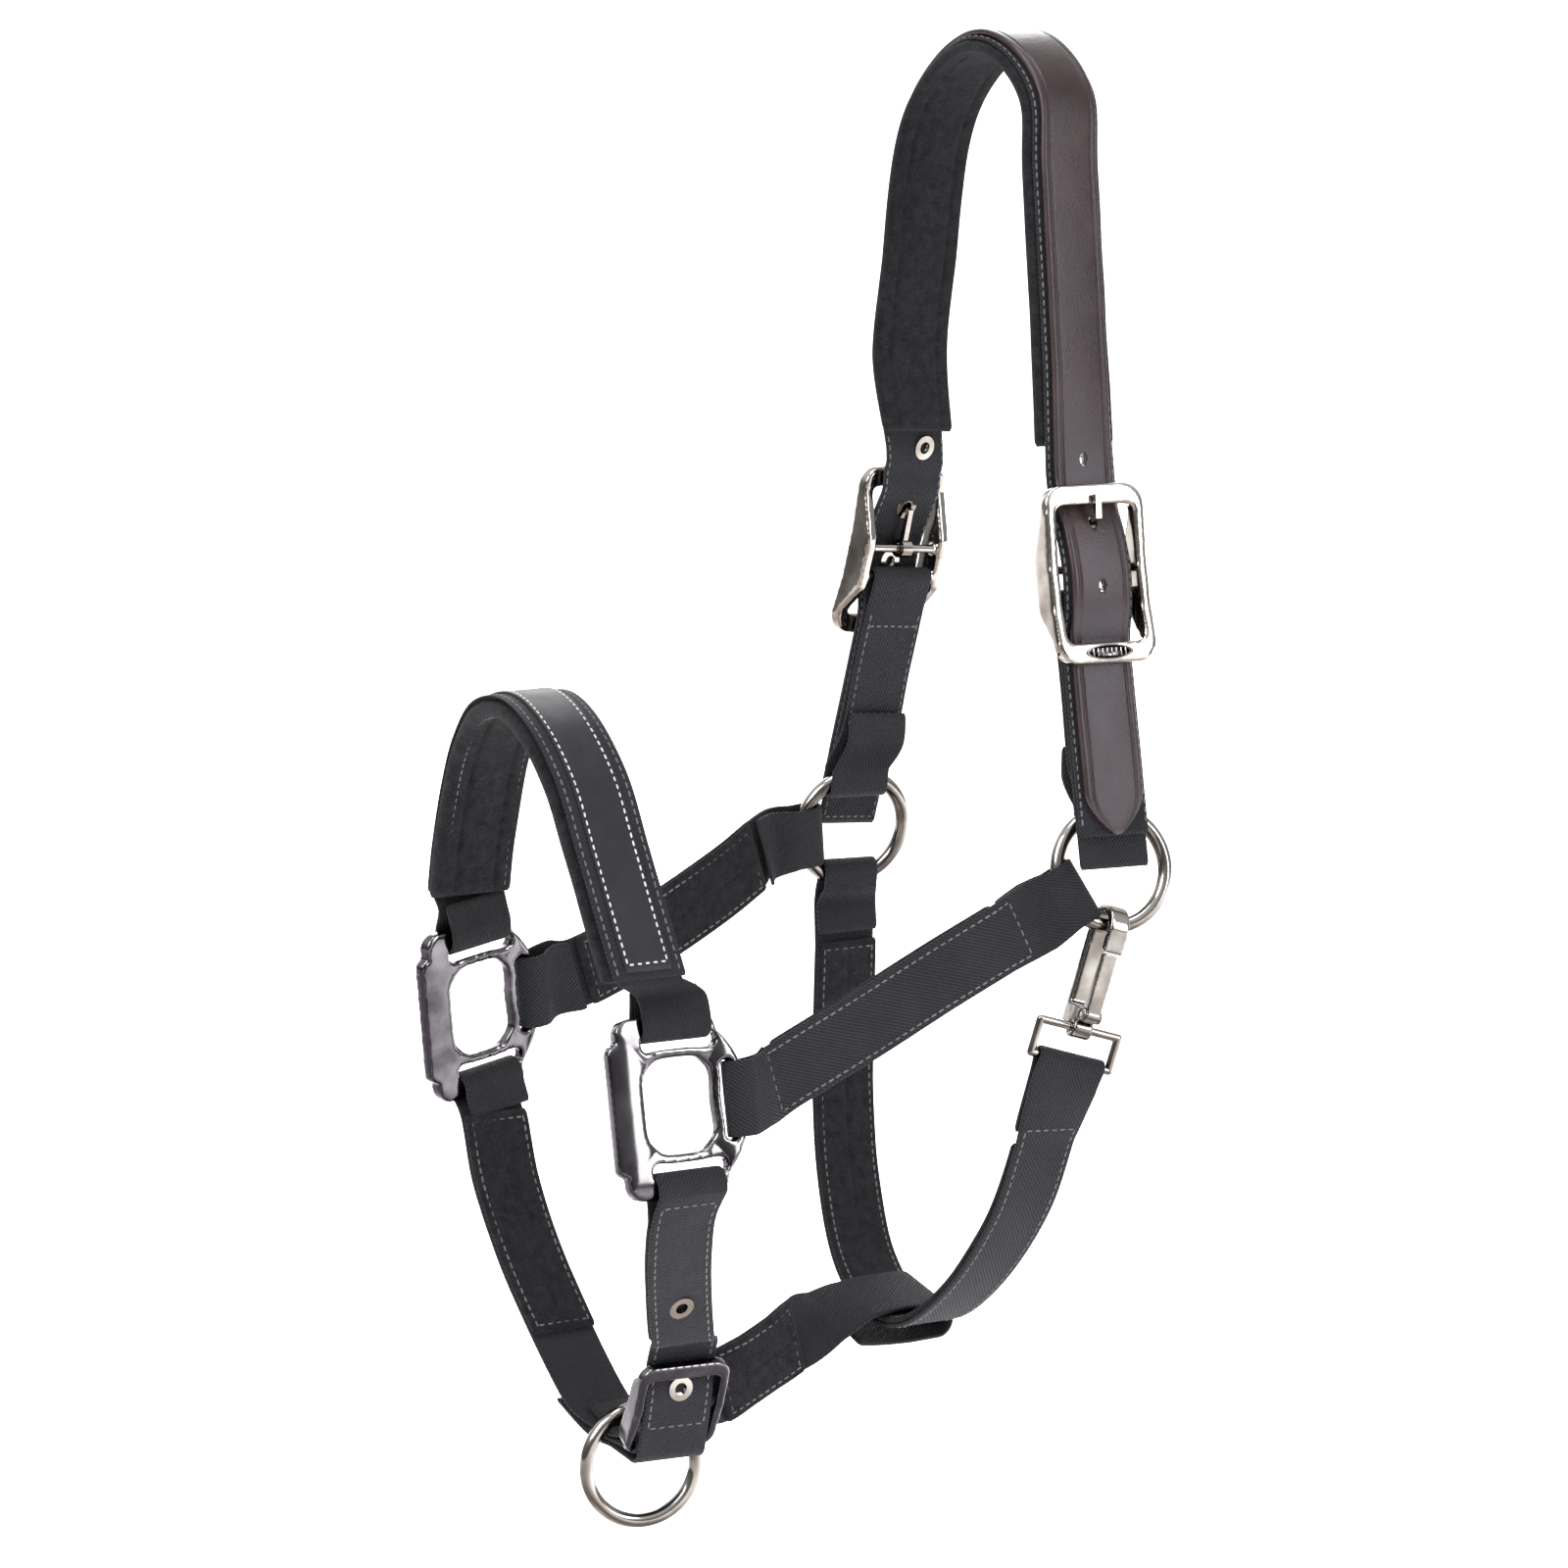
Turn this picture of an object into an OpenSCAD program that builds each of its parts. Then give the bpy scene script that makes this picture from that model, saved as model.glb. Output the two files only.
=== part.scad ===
// Horse headcollar, shown as it sits on a head: nose towards -X, near (left)
// side towards -Y, +Z up. The origin is the middle of the underside of the
// crown pad, where the headcollar rests on the poll.
// Straps are ribbons swept along smooth routes. Hardware is placed by a frame
// of [position, [lean, pitch, toe], side], where side is -1 near, +1 far.
// In a hardware frame +x points back, +y away from the head, +z up.

/* [Straps] */
// Width of the cheek, chin, throat and connector straps
strap_w = 28; // [26:0.5:28]
// Width of the crown webbing and the chapes
crown_w = 30; // [28:0.5:30]
// Width of the leather on the crown
leather_w = 25.5; // [22:0.5:27]
// Width of the crown pad
crown_pad_w = 35; // [32:0.5:38]
// Width of the noseband pad
nose_pad_w = 35; // [32:0.5:38]
// Width of the smooth strip on the noseband
nose_strip_w = 20; // [16:0.5:24]
// Thickness of one layer of webbing
web_t = 1.6; // [1.2:0.1:1.8]
// Thickness of the crown leather
leather_t = 2.6; // [2:0.1:3]
// Thickness of the lining behind the side straps
lining_t = 2.2; // [1.5:0.1:2.6]
// Thickness of the crown pad
crown_pad_t = 4; // [3:0.5:5]
// Thickness of the noseband pad
nose_pad_t = 6; // [4:0.5:7]

/* [Rings] */
// Outer diameter of the three rings
ring_d = 49; // [47:0.5:49]
// Wire diameter of the rings
ring_wire = 5.5; // [5:0.25:5.5]

/* [Squares] */
// Length of a square, front to back
square_l = 56; // [55.5:0.5:57]
// Height of a square
square_h = 66.5; // [66:0.5:67]
// Thickness of a square
square_t = 5; // [4:0.5:5]

/* [Crown buckles] */
// Width over the sides of a crown buckle
buckle_w = 43.5; // [43:0.5:45]
// Thickness of a crown buckle's side bars
buckle_side = 4.8; // [4.2:0.1:4.8]

/* [Chin buckle] */
// Width of the chin buckle
chin_buckle_w = 37; // [36:0.5:38]
// Height of the chin buckle
chin_buckle_h = 40; // [39:0.5:41]

/* [Snap hook] */
// Wire diameter of the hook's eye
eye_wire = 3.2; // [3:0.1:3.4]
// Thickness of the hook's body
hook_t = 8; // [7:0.5:8]

/* [Eyelets] */
// Hole radius of an eyelet
eyelet_r = 2.4; // [2:0.1:2.6]
// Flange radius of an eyelet
eyelet_flange_r = 4.8; // [4.2:0.1:5]

/* [Hidden] */

$fn = 48;
NEAR = -1;
FAR = 1;
// Gap between layers that are sewn together
layer_gap = 0.2;
// Gap between parts that move on each other
run_gap = 0.3;

// ---- Vectors and frames ----
function unit(v) = v / norm(v);
function rot_x(a, p) = [p[0], p[1] * cos(a) - p[2] * sin(a), p[1] * sin(a) + p[2] * cos(a)];
function rot_y(a, p) = [p[0] * cos(a) + p[2] * sin(a), p[1], p[2] * cos(a) - p[0] * sin(a)];
function rot_z(a, p) = [p[0] * cos(a) - p[1] * sin(a), p[0] * sin(a) + p[1] * cos(a), p[2]];
// Direction v of a hardware frame, in the object's frame
function dir(f, v) =
    rot_z(f[2] * f[1][2], rot_x(f[2] * f[1][0], rot_y(-f[1][1], [v[0], f[2] * v[1], v[2]])));
// Point p of a hardware frame, in the object's frame
function at(f, p) = f[0] + dir(f, p);

// Puts a part that is drawn in its own frame where the frame says
module place(f) {
    translate(f[0])
        rotate([0, 0, f[2] * f[1][2]])
            rotate([f[2] * f[1][0], 0, 0])
                rotate([0, -f[1][1], 0])
                    mirror([0, (f[2] == NEAR) ? 1 : 0, 0])
                        children();
}

// A flat shape of the y-z plane, of the given thickness
module slab(t) {
    rotate([90, 0, 90])
        linear_extrude(t, center = true)
            children();
}

// ---- Routes: lists of [point, width direction, width factor] ----
function mix(a, b, t) = a * (1 - t) + b * t;
function spline_value(a, b, c, d, t) =
    0.5 * (2 * b + (c - a) * t + (2 * a - 5 * b + 4 * c - d) * t * t
        + (3 * b - a - 3 * c + d) * t * t * t);
// A smooth route through the stations, with the given steps between each two
function smooth(s, steps) = concat(
    [for (i = [0 : len(s) - 2], k = [0 : steps - 1])
        let (a = s[max(i - 1, 0)], b = s[i], c = s[i + 1], d = s[min(i + 2, len(s) - 1)], t = k / steps)
        [spline_value(a[0], b[0], c[0], d[0], t), unit(mix(b[1], c[1], t)), mix(b[2], c[2], t)]],
    [s[len(s) - 1]]);
// A wrap round a bar at c: along is away from the crest, out is the first
// side reached at the end, across is the bar's direction
function wrap(c, along, out, across, r, half, factor, steps = 8) =
    [for (k = [0 : steps])
        let (a = -half + 2 * half * k / steps)
        [c + r * (out * sin(a) - along * cos(a)), across, factor]];

function route_tangent(s, i) =
    unit(s[min(i + 1, len(s) - 1)][0] - s[max(i - 1, 0)][0]);
function route_normal(s, i) = unit(cross(route_tangent(s, i), s[i][1]));
// The four corners of the ribbon at each station, offset from lo to hi
function ribbon_points(s, w, lo, hi, first, last) =
    [for (i = [first : last])
        let (n = route_normal(s, i), h = s[i][1] * w * s[i][2] / 2, p = s[i][0])
        each [p - h + n * lo, p + h + n * lo, p + h + n * hi, p - h + n * hi]];
function ribbon_faces(n) = concat(
    [[0, 1, 2], [0, 2, 3]],
    [for (i = [0 : n - 2], k = [0 : 3])
        let (a = 4 * i + k, b = 4 * i + (k + 1) % 4)
        each [[a, a + 4, b + 4], [a, b + 4, b]]],
    [[4 * n - 4, 4 * n - 2, 4 * n - 3], [4 * n - 4, 4 * n - 1, 4 * n - 2]]);
// A strap of width w whose thickness runs from lo to hi off its route, over
// the stations first to last
module ribbon_part(s, w, lo, hi, first, last) {
    polyhedron(ribbon_points(s, w, lo, hi, first, last), ribbon_faces(last - first + 1),
        convexity = 6);
}
module ribbon(s, w, lo, hi) {
    ribbon_part(s, w, lo, hi, 0, len(s) - 1);
}
function part_of(s, first, last) = [for (i = [first : last]) s[i]];
function reversed(s) = [for (i = [len(s) - 1 : -1 : 0]) s[i]];

X1 = [1, 0, 0];
Y1 = [0, 1, 0];
Z1 = [0, 0, 1];

// ---- Where the hardware sits ----
ring_r = (ring_d - ring_wire) / 2;
// Inner and outer radius of the hook's curve, and its height over the eye
hook_inner_r = 5.6;
hook_outer_r = 9;
hook_top_z = 39.2;
near_buckle_at = [[-6.5, -62, -192.5], [12, -0.5, 6], NEAR];
far_buckle_at = [[-2.5, 62, -195.5], [12, -5, 6], FAR];
near_ring_at = [at(near_buckle_at, [3, -8.5, -113]), [12, 0, 16], NEAR];
far_ring_at = [at(far_buckle_at, [-3.5, -8.5, -112]), [12, 0, -12], FAR];
near_square_at = [[-195.8, -66, -376.5], [10, 1, 6.5], NEAR];
far_square_at = [[-197.5, 66, -358.5], [3, 8, 6.5], FAR];
chin_buckle_at = [[-172.5, -29, -498], [-26, 0, 8], NEAR];
chin_ring_at = [[-175, -10, -524.3], [0, 0, 14], NEAR];
// The hook hangs from this angle of the near ring
hook_angle = 264;
eye_turn = [-2, -17, 12];
// Room between the hook's curve and the ring
hook_play = 1.8;
hook_reach = hook_top_z + hook_inner_r - ring_wire / 2 - hook_play;
eye_at = [ring_point(near_ring_at, hook_angle, ring_r, 0)
    - dir([[0, 0, 0], eye_turn, NEAR], [0, 0, hook_reach]), eye_turn, NEAR];

// ---- Rings ----
module ring_body() {
    rotate([90, 0, 0])
        rotate_extrude($fn = 60)
            translate([ring_r, 0])
                circle(d = ring_wire, $fn = 20);
}
module near_ring() {
    color("silver") place(near_ring_at) ring_body();
}
module far_ring() {
    color("silver") place(far_ring_at) ring_body();
}
module chin_ring() {
    color("silver") place(chin_ring_at) ring_body();
}

// ---- Squares ----
// Middle of the bar that each strap is folded round, in a square's frame
square_top_bar = [0.3, 0, square_h / 2 - 3.8];
square_bottom_bar = [0.3, 0, 3.8 - square_h / 2];
square_rear_bar = [25.6, 0, 0];
// Radius of the fold round a square's bar, at the middle of the webbing
square_fold_r = 5.6;

module rounded_rectangle(w, h, r) {
    square([w - 2 * r, h], center = true);
    square([w, h - 2 * r], center = true);
    for (x = [-1, 1], z = [-1, 1])
        translate([x * (w / 2 - r), z * (h / 2 - r)])
            circle(r = r);
}
module square_outline() {
    front = 27.5;
    shoulder = 24;
    translate([(17 - shoulder) / 2, 0]) rounded_rectangle(17 + shoulder, square_h, 6);
    translate([-front / 2, 0]) rounded_rectangle(front, 48, 3);
    intersection() {
        translate([square_l - front - 36, 0]) circle(r = 36, $fn = 96);
        translate([0, -30]) square([40, 60]);
    }
}
module square_holes() {
    rounded_rectangle(29, 35, 6);
    for (s = [-1, 1])
        translate([1.5, s * (square_h / 2 - 10)])
            rounded_rectangle(31, 5, 2);
    translate([20, 0]) rounded_rectangle(4.6, 30, 2);
}
module square_body() {
    rotate([90, 0, 0])
        linear_extrude(square_t, center = true)
            difference() {
                square_outline();
                square_holes();
            }
}
module near_square() {
    color("dimgray") place(near_square_at) square_body();
}
module far_square() {
    color("dimgray") place(far_square_at) square_body();
}

// ---- Crown buckles ----
// Tongue bar at the buckle's origin, chape bar below it and further in
tongue_bar_r = 2;
chape_bar = [0, -1, -11.2];
buckle_top = 31.3;
buckle_bottom = -36.6;
buckle_bar_h = 8;
buckle_opening = buckle_w - 2 * buckle_side;

// Height and depth of a buckle's side, as [depth, height]
buckle_side_profile = [[5, buckle_top], [10, buckle_top], [10, 22], [8.5, 5], [8.5, -14],
    [10.2, -28], [10.2, buckle_bottom], [5.2, buckle_bottom], [5.2, -28],
    [-3.2, -16], [-3.2, 4], [4.8, 22]];
module buckle_front() {
    mid = (buckle_top + buckle_bottom) / 2;
    h = buckle_top - buckle_bottom;
    difference() {
        translate([0, mid]) rounded_rectangle(buckle_w, h, 8);
        translate([0, mid]) rounded_rectangle(buckle_opening, h - 2 * buckle_bar_h, 3);
    }
}
module buckle_frame_body() {
    intersection() {
        rotate([90, 0, 0]) linear_extrude(40, center = true) buckle_front();
        translate([-buckle_w / 2 - 1, 0, 0])
            rotate([90, 0, 90])
                linear_extrude(buckle_w + 2)
                    polygon(buckle_side_profile);
    }
    for (c = [[0, 0, 0], chape_bar])
        translate(c)
            rotate([0, 90, 0])
                cylinder(r = tongue_bar_r, h = buckle_opening + 4, center = true);
}
module near_buckle_frame() {
    color("silver") place(near_buckle_at) buckle_frame_body();
}
module far_buckle_frame() {
    color("silver") place(far_buckle_at) buckle_frame_body();
}

// The points moved sideways by d, square to their path
function beside(points, d) =
    [for (i = [0 : len(points) - 1])
        let (a = points[max(i - 1, 0)], b = points[min(i + 1, len(points) - 1)], t = unit(b - a))
        points[i] + d * [t[1], -t[0]]];
// A bar of square section through the given points of the plane x = 0
module bent_bar(points, r) {
    slab(2 * r) polygon(concat(beside(points, r), reversed(beside(points, -r))));
}
module tongue_loop(bar_r, r, w) {
    rotate([0, 90, 0])
        difference() {
            cylinder(r = r, h = w, center = true);
            cylinder(r = bar_r + 0.05, h = w + 2, center = true);
        }
}
tongue_r = 1.15;
tongue_line = [[0.2, 2.8], [0.4, 15], [11, 18.6], [11.75, 27]];
module buckle_tongue_body() {
    tongue_loop(tongue_bar_r, 3.6, 5);
    bent_bar(tongue_line, tongue_r);
}
module near_buckle_tongue() {
    color("silver") place(near_buckle_at) buckle_tongue_body();
}
module far_buckle_tongue() {
    color("silver") place(far_buckle_at) buckle_tongue_body();
}

// ---- Crown: leather over webbing over a pad ----
// Inner face of the crown webbing at a buckle, as [depth, height], tip first
buckle_pass = [[0.2, -101], [0.2, -70], [0.2, -45], [0.2, -34], [0.9, -25], [4.2, -15],
    [5.6, -5], [5.2, 4], [3.2, 14], [0.3, 22.6], [0.1, 30], [0, 40]];
// The strap leaves the top of the buckle shifted sideways by this much
function buckle_stations(f, shift) =
    [for (p = buckle_pass) [at(f, [shift * max(p[1] - 16, 0) / 24, p[0], p[1]]), dir(f, X1), 1]];
crown_base = crown_pad_t + layer_gap;
crown_arch = [
    [[-5, -51, -118], X1, 1],
    [[-4, -46, -78], X1, 1],
    [[-3, -41, -42], X1, 1],
    [[1, -34, -17], X1, 1],
    [[1, -19, -1.5], X1, 1],
    [[0, 0, crown_base], X1, 1],
    [[-1, 19, -2.5], X1, 1],
    [[-4, 34, -19], X1, 1],
    [[-6, 42, -42], X1, 1],
    [[-7, 47, -78], X1, 1],
    [[-8, 52, -118], X1, 1]];
crown_steps = 4;
crown_route = smooth(concat(buckle_stations(near_buckle_at, 0.5), crown_arch,
    reversed(buckle_stations(far_buckle_at, -4))), crown_steps);
// The pad runs between the upper ends of the two buckle passes
pad_first = crown_steps * (len(buckle_pass) - 1) + 1;
pad_last = len(crown_route) - 1 - pad_first;

// Heights of the strap holes over the tongue bar, with the inner face's slope
hole_heights = [[41, 0, 0], [16.2, 2.95, 12], [-7, 5.7, -6]];
// Places its children on the webbing's inner face at each strap hole
module at_crown_holes() {
    for (f = [near_buckle_at, far_buckle_at], h = hole_heights)
        place(f)
            translate([0, h[1], h[0]])
                rotate([h[2], 0, 0])
                    rotate([-90, 0, 0])
                        children();
}
crown_out = web_t + layer_gap;
module crown_leather() {
    color("saddlebrown")
        difference() {
            ribbon(crown_route, leather_w, -crown_out - leather_t, -crown_out);
            at_crown_holes()
                for (y = [-0.6, 0.8, 2.2])
                    translate([0, -y, -4])
                        cylinder(r = 2.6, h = 14);
            // The strap's points
            for (f = [near_buckle_at, far_buckle_at], s = [-1, 1])
                place(f)
                    translate([s * leather_w / 2, 4, -102])
                        rotate([0, s * 32, 0])
                            cube([12, 12, 32], center = true);
        }
}
module crown_webbing() {
    color("black")
        difference() {
            ribbon(crown_route, crown_w, -web_t, 0);
            at_crown_holes()
                translate([0, 0, -6])
                    cylinder(r = eyelet_barrel_r, h = 12);
        }
}
module crown_pad() {
    color("black")
        ribbon_part(crown_route, crown_pad_w, layer_gap, crown_base, pad_first, pad_last);
}
eyelet_barrel_r = eyelet_r + 0.5;
// Thickness of an eyelet's flange
eyelet_flange_t = 0.6;
// An eyelet in a strap that lies on z = 0 to t, with its flange below
module eyelet(t) {
    difference() {
        union() {
            cylinder(r = eyelet_barrel_r, h = t);
            translate([0, 0, -eyelet_flange_t]) cylinder(r = eyelet_flange_r, h = eyelet_flange_t);
        }
        translate([0, 0, -2]) cylinder(r = eyelet_r, h = t + 4);
    }
}
module crown_eyelets() {
    color("silver") at_crown_holes() eyelet(web_t);
}

// ---- Chapes: one strip each, folded round the buckle's lower bar and the ring ----
ring_fold_r = ring_wire / 2 + run_gap + web_t / 2;
// Distance from a ring's centre to the fold of a strap with this half width
function fold_reach(half_w) = sqrt(ring_r * ring_r - half_w * half_w) - 0.7;
// Direction at angle a in a ring's plane, from +x towards +z
function ring_dir(f, a) = dir(f, [cos(a), 0, sin(a)]);
function ring_across(f, a) = dir(f, [sin(a), 0, -cos(a)]);
// A point at the given reach from the ring's centre and depth off its plane
function ring_point(f, a, reach, depth) = f[0] + ring_dir(f, a) * reach + dir(f, Y1) * depth;

chape_outer = -crown_out / 2 - 0.2;
chape_inner = chape_outer - web_t - layer_gap;
chape_narrow = 0.8;
function chape_route(b, r) =
    let (x = dir(b, X1), rx = dir(r, X1), c = fold_reach(crown_w * chape_narrow / 2))
    concat(
        smooth([
            [at(b, [0, chape_outer, -113]), x, 1],
            [at(b, [0, chape_outer, -85]), x, 1],
            [at(b, [0, chape_outer, -50]), x, 1],
            [at(b, [0, chape_outer, -24]), x, 1]], 2),
        wrap(at(b, chape_bar), dir(b, -Z1), dir(b, -Y1), x, tongue_bar_r + run_gap + web_t / 2, 95, 1),
        smooth([
            [at(b, [0, chape_inner - 0.3, -24]), x, 1],
            [at(b, [0, chape_inner, -50]), x, 1],
            [at(b, [0, chape_inner - 0.4, -74]), x, 1],
            [ring_point(r, 90, ring_r + 3, ring_fold_r), rx, chape_narrow]], 3),
        wrap(ring_point(r, 90, c, 0), dir(r, Z1), dir(r, -Y1), rx, ring_fold_r, 90, chape_narrow),
        smooth([
            [ring_point(r, 90, ring_r + 3, -ring_fold_r), rx, chape_narrow],
            [at(b, [0, chape_inner - 5.4, -78]), x, 1],
            [at(b, [0, chape_inner - 3, -66]), x, 1]], 3));
module near_chape() {
    color("black") ribbon(chape_route(near_buckle_at, near_ring_at), crown_w, -web_t / 2, web_t / 2);
}
module far_chape() {
    color("black") ribbon(chape_route(far_buckle_at, far_ring_at), crown_w, -web_t / 2, web_t / 2);
}

// ---- Cheek straps ----
// Height of the doubled end behind the outer layer
fold_back = web_t + layer_gap;
ring_narrow = 0.88;
// Stations of a strap's route that come before its hand-placed middle: the
// fold-back end, the wrap round a bar, and the way off the bar
fold_stations = 16;
cheek_first = fold_stations + 6;
// From the fold-back end, round the square's rear bar, to the ring's fold
function cheek_route(q, r, angle, mids) =
    let (up = dir(q, Z1), c = fold_reach(strap_w * ring_narrow / 2), b = square_rear_bar,
         across = ring_across(r, angle), slope = mids[0][1])
    concat(
        smooth([
            [mids[0][0] + dir(q, [-3, -fold_back, -1]), slope, 1],
            [at(q, b + [10, -2.8, 1.5]), up, 1],
            [at(q, b + [3, -square_fold_r + 0.3, 0]), up, 1]], 3),
        wrap(at(q, b), dir(q, X1), dir(q, Y1), up, square_fold_r - 0.4, 90, 1),
        smooth(concat(
            [[at(q, b + [3, square_fold_r - 0.5, 0]), up, 1],
             [at(q, b + [11, 1.4, 2.4]), up, 1]],
            mids,
            [[ring_point(r, angle, ring_r + 13, 1.6), across, 1],
             [ring_point(r, angle, ring_r + 3, ring_fold_r), across, ring_narrow]]), 3),
        wrap(ring_point(r, angle, c, 0), ring_dir(r, angle), dir(r, -Y1), across,
            ring_fold_r, 90, ring_narrow),
        smooth([
            [ring_point(r, angle, ring_r + 3, -ring_fold_r), across, ring_narrow],
            [ring_point(r, angle, ring_r + 13, -3.2), across, 1],
            [mids[len(mids) - 1][0] + dir(q, [3, -fold_back - 1.6, 1]), slope, 1]], 3));
near_cheek_up = unit([-0.41, 0, 0.91]);
far_cheek_up = unit([-0.31, 0, 0.95]);
near_cheek_mids = [
    [[-150, -68, -370], near_cheek_up, 1],
    [[-117, -71, -355], near_cheek_up, 1],
    [[-83, -74, -339], near_cheek_up, 1],
    [[-56, -77, -326.5], near_cheek_up, 1]];
far_cheek_mids = [
    [[-150, 68, -350], far_cheek_up, 1],
    [[-117, 71, -339], far_cheek_up, 1],
    [[-83, 74, -324], far_cheek_up, 1],
    [[-64, 76, -314], far_cheek_up, 1]];
near_cheek_route = cheek_route(near_square_at, near_ring_at, 208, near_cheek_mids);
far_cheek_route = cheek_route(far_square_at, far_ring_at, 188, far_cheek_mids);
module near_cheek_strap() {
    color("black") ribbon(near_cheek_route, strap_w, -web_t / 2, web_t / 2);
}
module far_cheek_strap() {
    color("black") ribbon(far_cheek_route, strap_w, -web_t / 2, web_t / 2);
}
lining_lo = web_t / 2 + layer_gap;
lining_hi = lining_lo + lining_t;
module near_cheek_lining() {
    color("black")
        ribbon_part(near_cheek_route, strap_w, -lining_hi, -lining_lo, cheek_first, cheek_first + 9);
}
module far_cheek_lining() {
    color("black")
        ribbon_part(far_cheek_route, strap_w, lining_lo, lining_hi, cheek_first, cheek_first + 9);
}

// ---- Noseband: pad, webbing and smooth strip over the nose ----
nose_arch = [
    [[-207, -64.5, -330], X1, 1],
    [[-212, -60, -307], X1, 1],
    [[-216, -53, -282], X1, 1],
    [[-217.5, -42, -258], X1, 1],
    [[-217.5, -24, -240], X1, 1],
    [[-214, 0, -232.5], X1, 1],
    [[-210, 25, -237], X1, 1],
    [[-207, 42, -251], X1, 1],
    [[-205, 54, -271], X1, 1],
    [[-204.5, 62, -296], X1, 1],
    [[-204, 66, -314], X1, 1]];
nose_steps = 4;
nose_mid = smooth(nose_arch, nose_steps);
// Half a noseband end: from the fold-back end, round a square's top bar, to the outer layer
function top_bar_fold(q, pad_end) =
    let (x = dir(q, X1), b = square_top_bar)
    concat(
        smooth([
            [at(q, b + [0, -2.6, 22]), x, 1],
            [at(q, b + [0, -3.2, 12]), x, 1],
            [at(q, b + [0, 0.3 - square_fold_r, 3]), x, 1]], 3),
        wrap(at(q, b), dir(q, Z1), dir(q, Y1), x, square_fold_r - 0.4, 90, 1),
        smooth([
            [at(q, b + [0, square_fold_r - 0.5, 3]), x, 1],
            [at(q, b + [0, 2, 11]), x, 1],
            pad_end], 3));
nose_route = concat(
    top_bar_fold(near_square_at, nose_arch[0]),
    part_of(nose_mid, 1, len(nose_mid) - 2),
    reversed(top_bar_fold(far_square_at, nose_arch[len(nose_arch) - 1])));
module noseband_webbing() {
    color("black") ribbon(nose_route, strap_w, -web_t / 2, web_t / 2);
}
nose_first = fold_stations + 6;
nose_last = nose_first + len(nose_mid) - 1;
module noseband_pad() {
    color("black")
        ribbon_part(nose_route, nose_pad_w, lining_lo, lining_lo + nose_pad_t, nose_first, nose_last);
}
nose_strip_t = 1.2;
module noseband_strip() {
    color("dimgray")
        ribbon_part(nose_route, nose_strip_w, -lining_lo - nose_strip_t, -lining_lo,
            nose_first + 1, nose_last - 1);
}

// ---- Chin straps ----
chin_bar_r = 2.2;
chin_bar = [0, -1, 2.5 - chin_buckle_h / 2];
near_chin_mids = [
    [[-197, -71, -419], X1, 1],
    [[-192.5, -62, -437], X1, 1],
    [[-185.5, -52, -455], X1, 1],
    [[-179, -44, -470], X1, 1]];
far_chin_mids = [
    [[-194, 63, -400], X1, 1],
    [[-193, 56, -425], X1, 1],
    [[-189.5, 44, -453], X1, 1],
    [[-184, 30, -480], X1, 1]];
// From the fold-back end, round a square's bottom bar, to the outer layer
function bottom_bar_fold(q, turn_in, end_in) =
    let (x = dir(q, X1), b = square_bottom_bar)
    concat(
        smooth([
            [at(q, b + [0, -end_in, -19]), x, 1],
            [at(q, b + [0, -turn_in, -12]), x, 1],
            [at(q, b + [0, 0.3 - square_fold_r, -3]), x, 1]], 3),
        wrap(at(q, b), dir(q, -Z1), dir(q, Y1), x, square_fold_r - 0.4, 90, 1));
// Depth and height of the near strap as it passes through the chin buckle
chin_pass = [[-3.8, 26], [-3.2, 17], [0.4, 8], [2.6, -2], [3.9, -11]];
chin_pass_r = chin_bar_r + 2 * (run_gap + web_t) + web_t / 2;
chin_x = dir(chin_buckle_at, X1);
// Middle of the near strap's turn round the bar, from straight below
chin_wrap = 39;
// Width factor of the straps inside the chin ring
under_narrow = 0.86;
// Height of the straps under the chin, where they pass through the ring
under_z = -512;
near_chin_route = concat(
    bottom_bar_fold(near_square_at, 6.2, 9.8),
    smooth(concat(
        [[at(near_square_at, square_bottom_bar + [0, square_fold_r - 0.5, -3]),
            dir(near_square_at, X1), 1]],
        near_chin_mids,
        [for (p = chin_pass) [at(chin_buckle_at, [0, p[0], p[1]]), chin_x, 1]]), 3),
    wrap(at(chin_buckle_at, chin_bar),
        dir(chin_buckle_at, [0, -sin(chin_wrap), cos(chin_wrap)]),
        dir(chin_buckle_at, [0, -cos(chin_wrap), -sin(chin_wrap)]), chin_x,
        chin_pass_r, 31, 1, 6),
    smooth([
        [[-175, -8, under_z - 4], chin_x, under_narrow],
        [[-177, 4, under_z - 1.6], chin_x, under_narrow],
        [[-181, 18, under_z + 10], X1, 1]], 3));
far_chin_route = concat(
    bottom_bar_fold(far_square_at, 8.2, 11),
    smooth(concat(
        [[at(far_square_at, square_bottom_bar + [0, square_fold_r - 0.5, -3]),
            dir(far_square_at, X1), 1]],
        far_chin_mids,
        [[[-180, 14, under_z + 10], X1, 1],
         [[-177, 4, under_z + 2.2], chin_x, under_narrow],
         [[-175, -8, under_z], chin_x, under_narrow],
         [[-174.4, -14, under_z + 0.6], chin_x, under_narrow]]), 3),
    wrap(at(chin_buckle_at, chin_bar), Y1, -Z1, chin_x, chin_bar_r + run_gap + web_t / 2, 90, 1, 8),
    smooth([
        [[-174.4, -14, under_z - 2.7], chin_x, under_narrow],
        [[-175, -8, under_z - 2.05], chin_x, under_narrow],
        [[-177, 4, under_z + 0.1], chin_x, under_narrow]], 3));
module near_chin_strap() {
    color("black")
        difference() {
            ribbon(near_chin_route, strap_w, -web_t / 2, web_t / 2);
            at_chin_eyelets()
                translate([0, 0, -5]) cylinder(r = eyelet_barrel_r, h = 10);
        }
}
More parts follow.
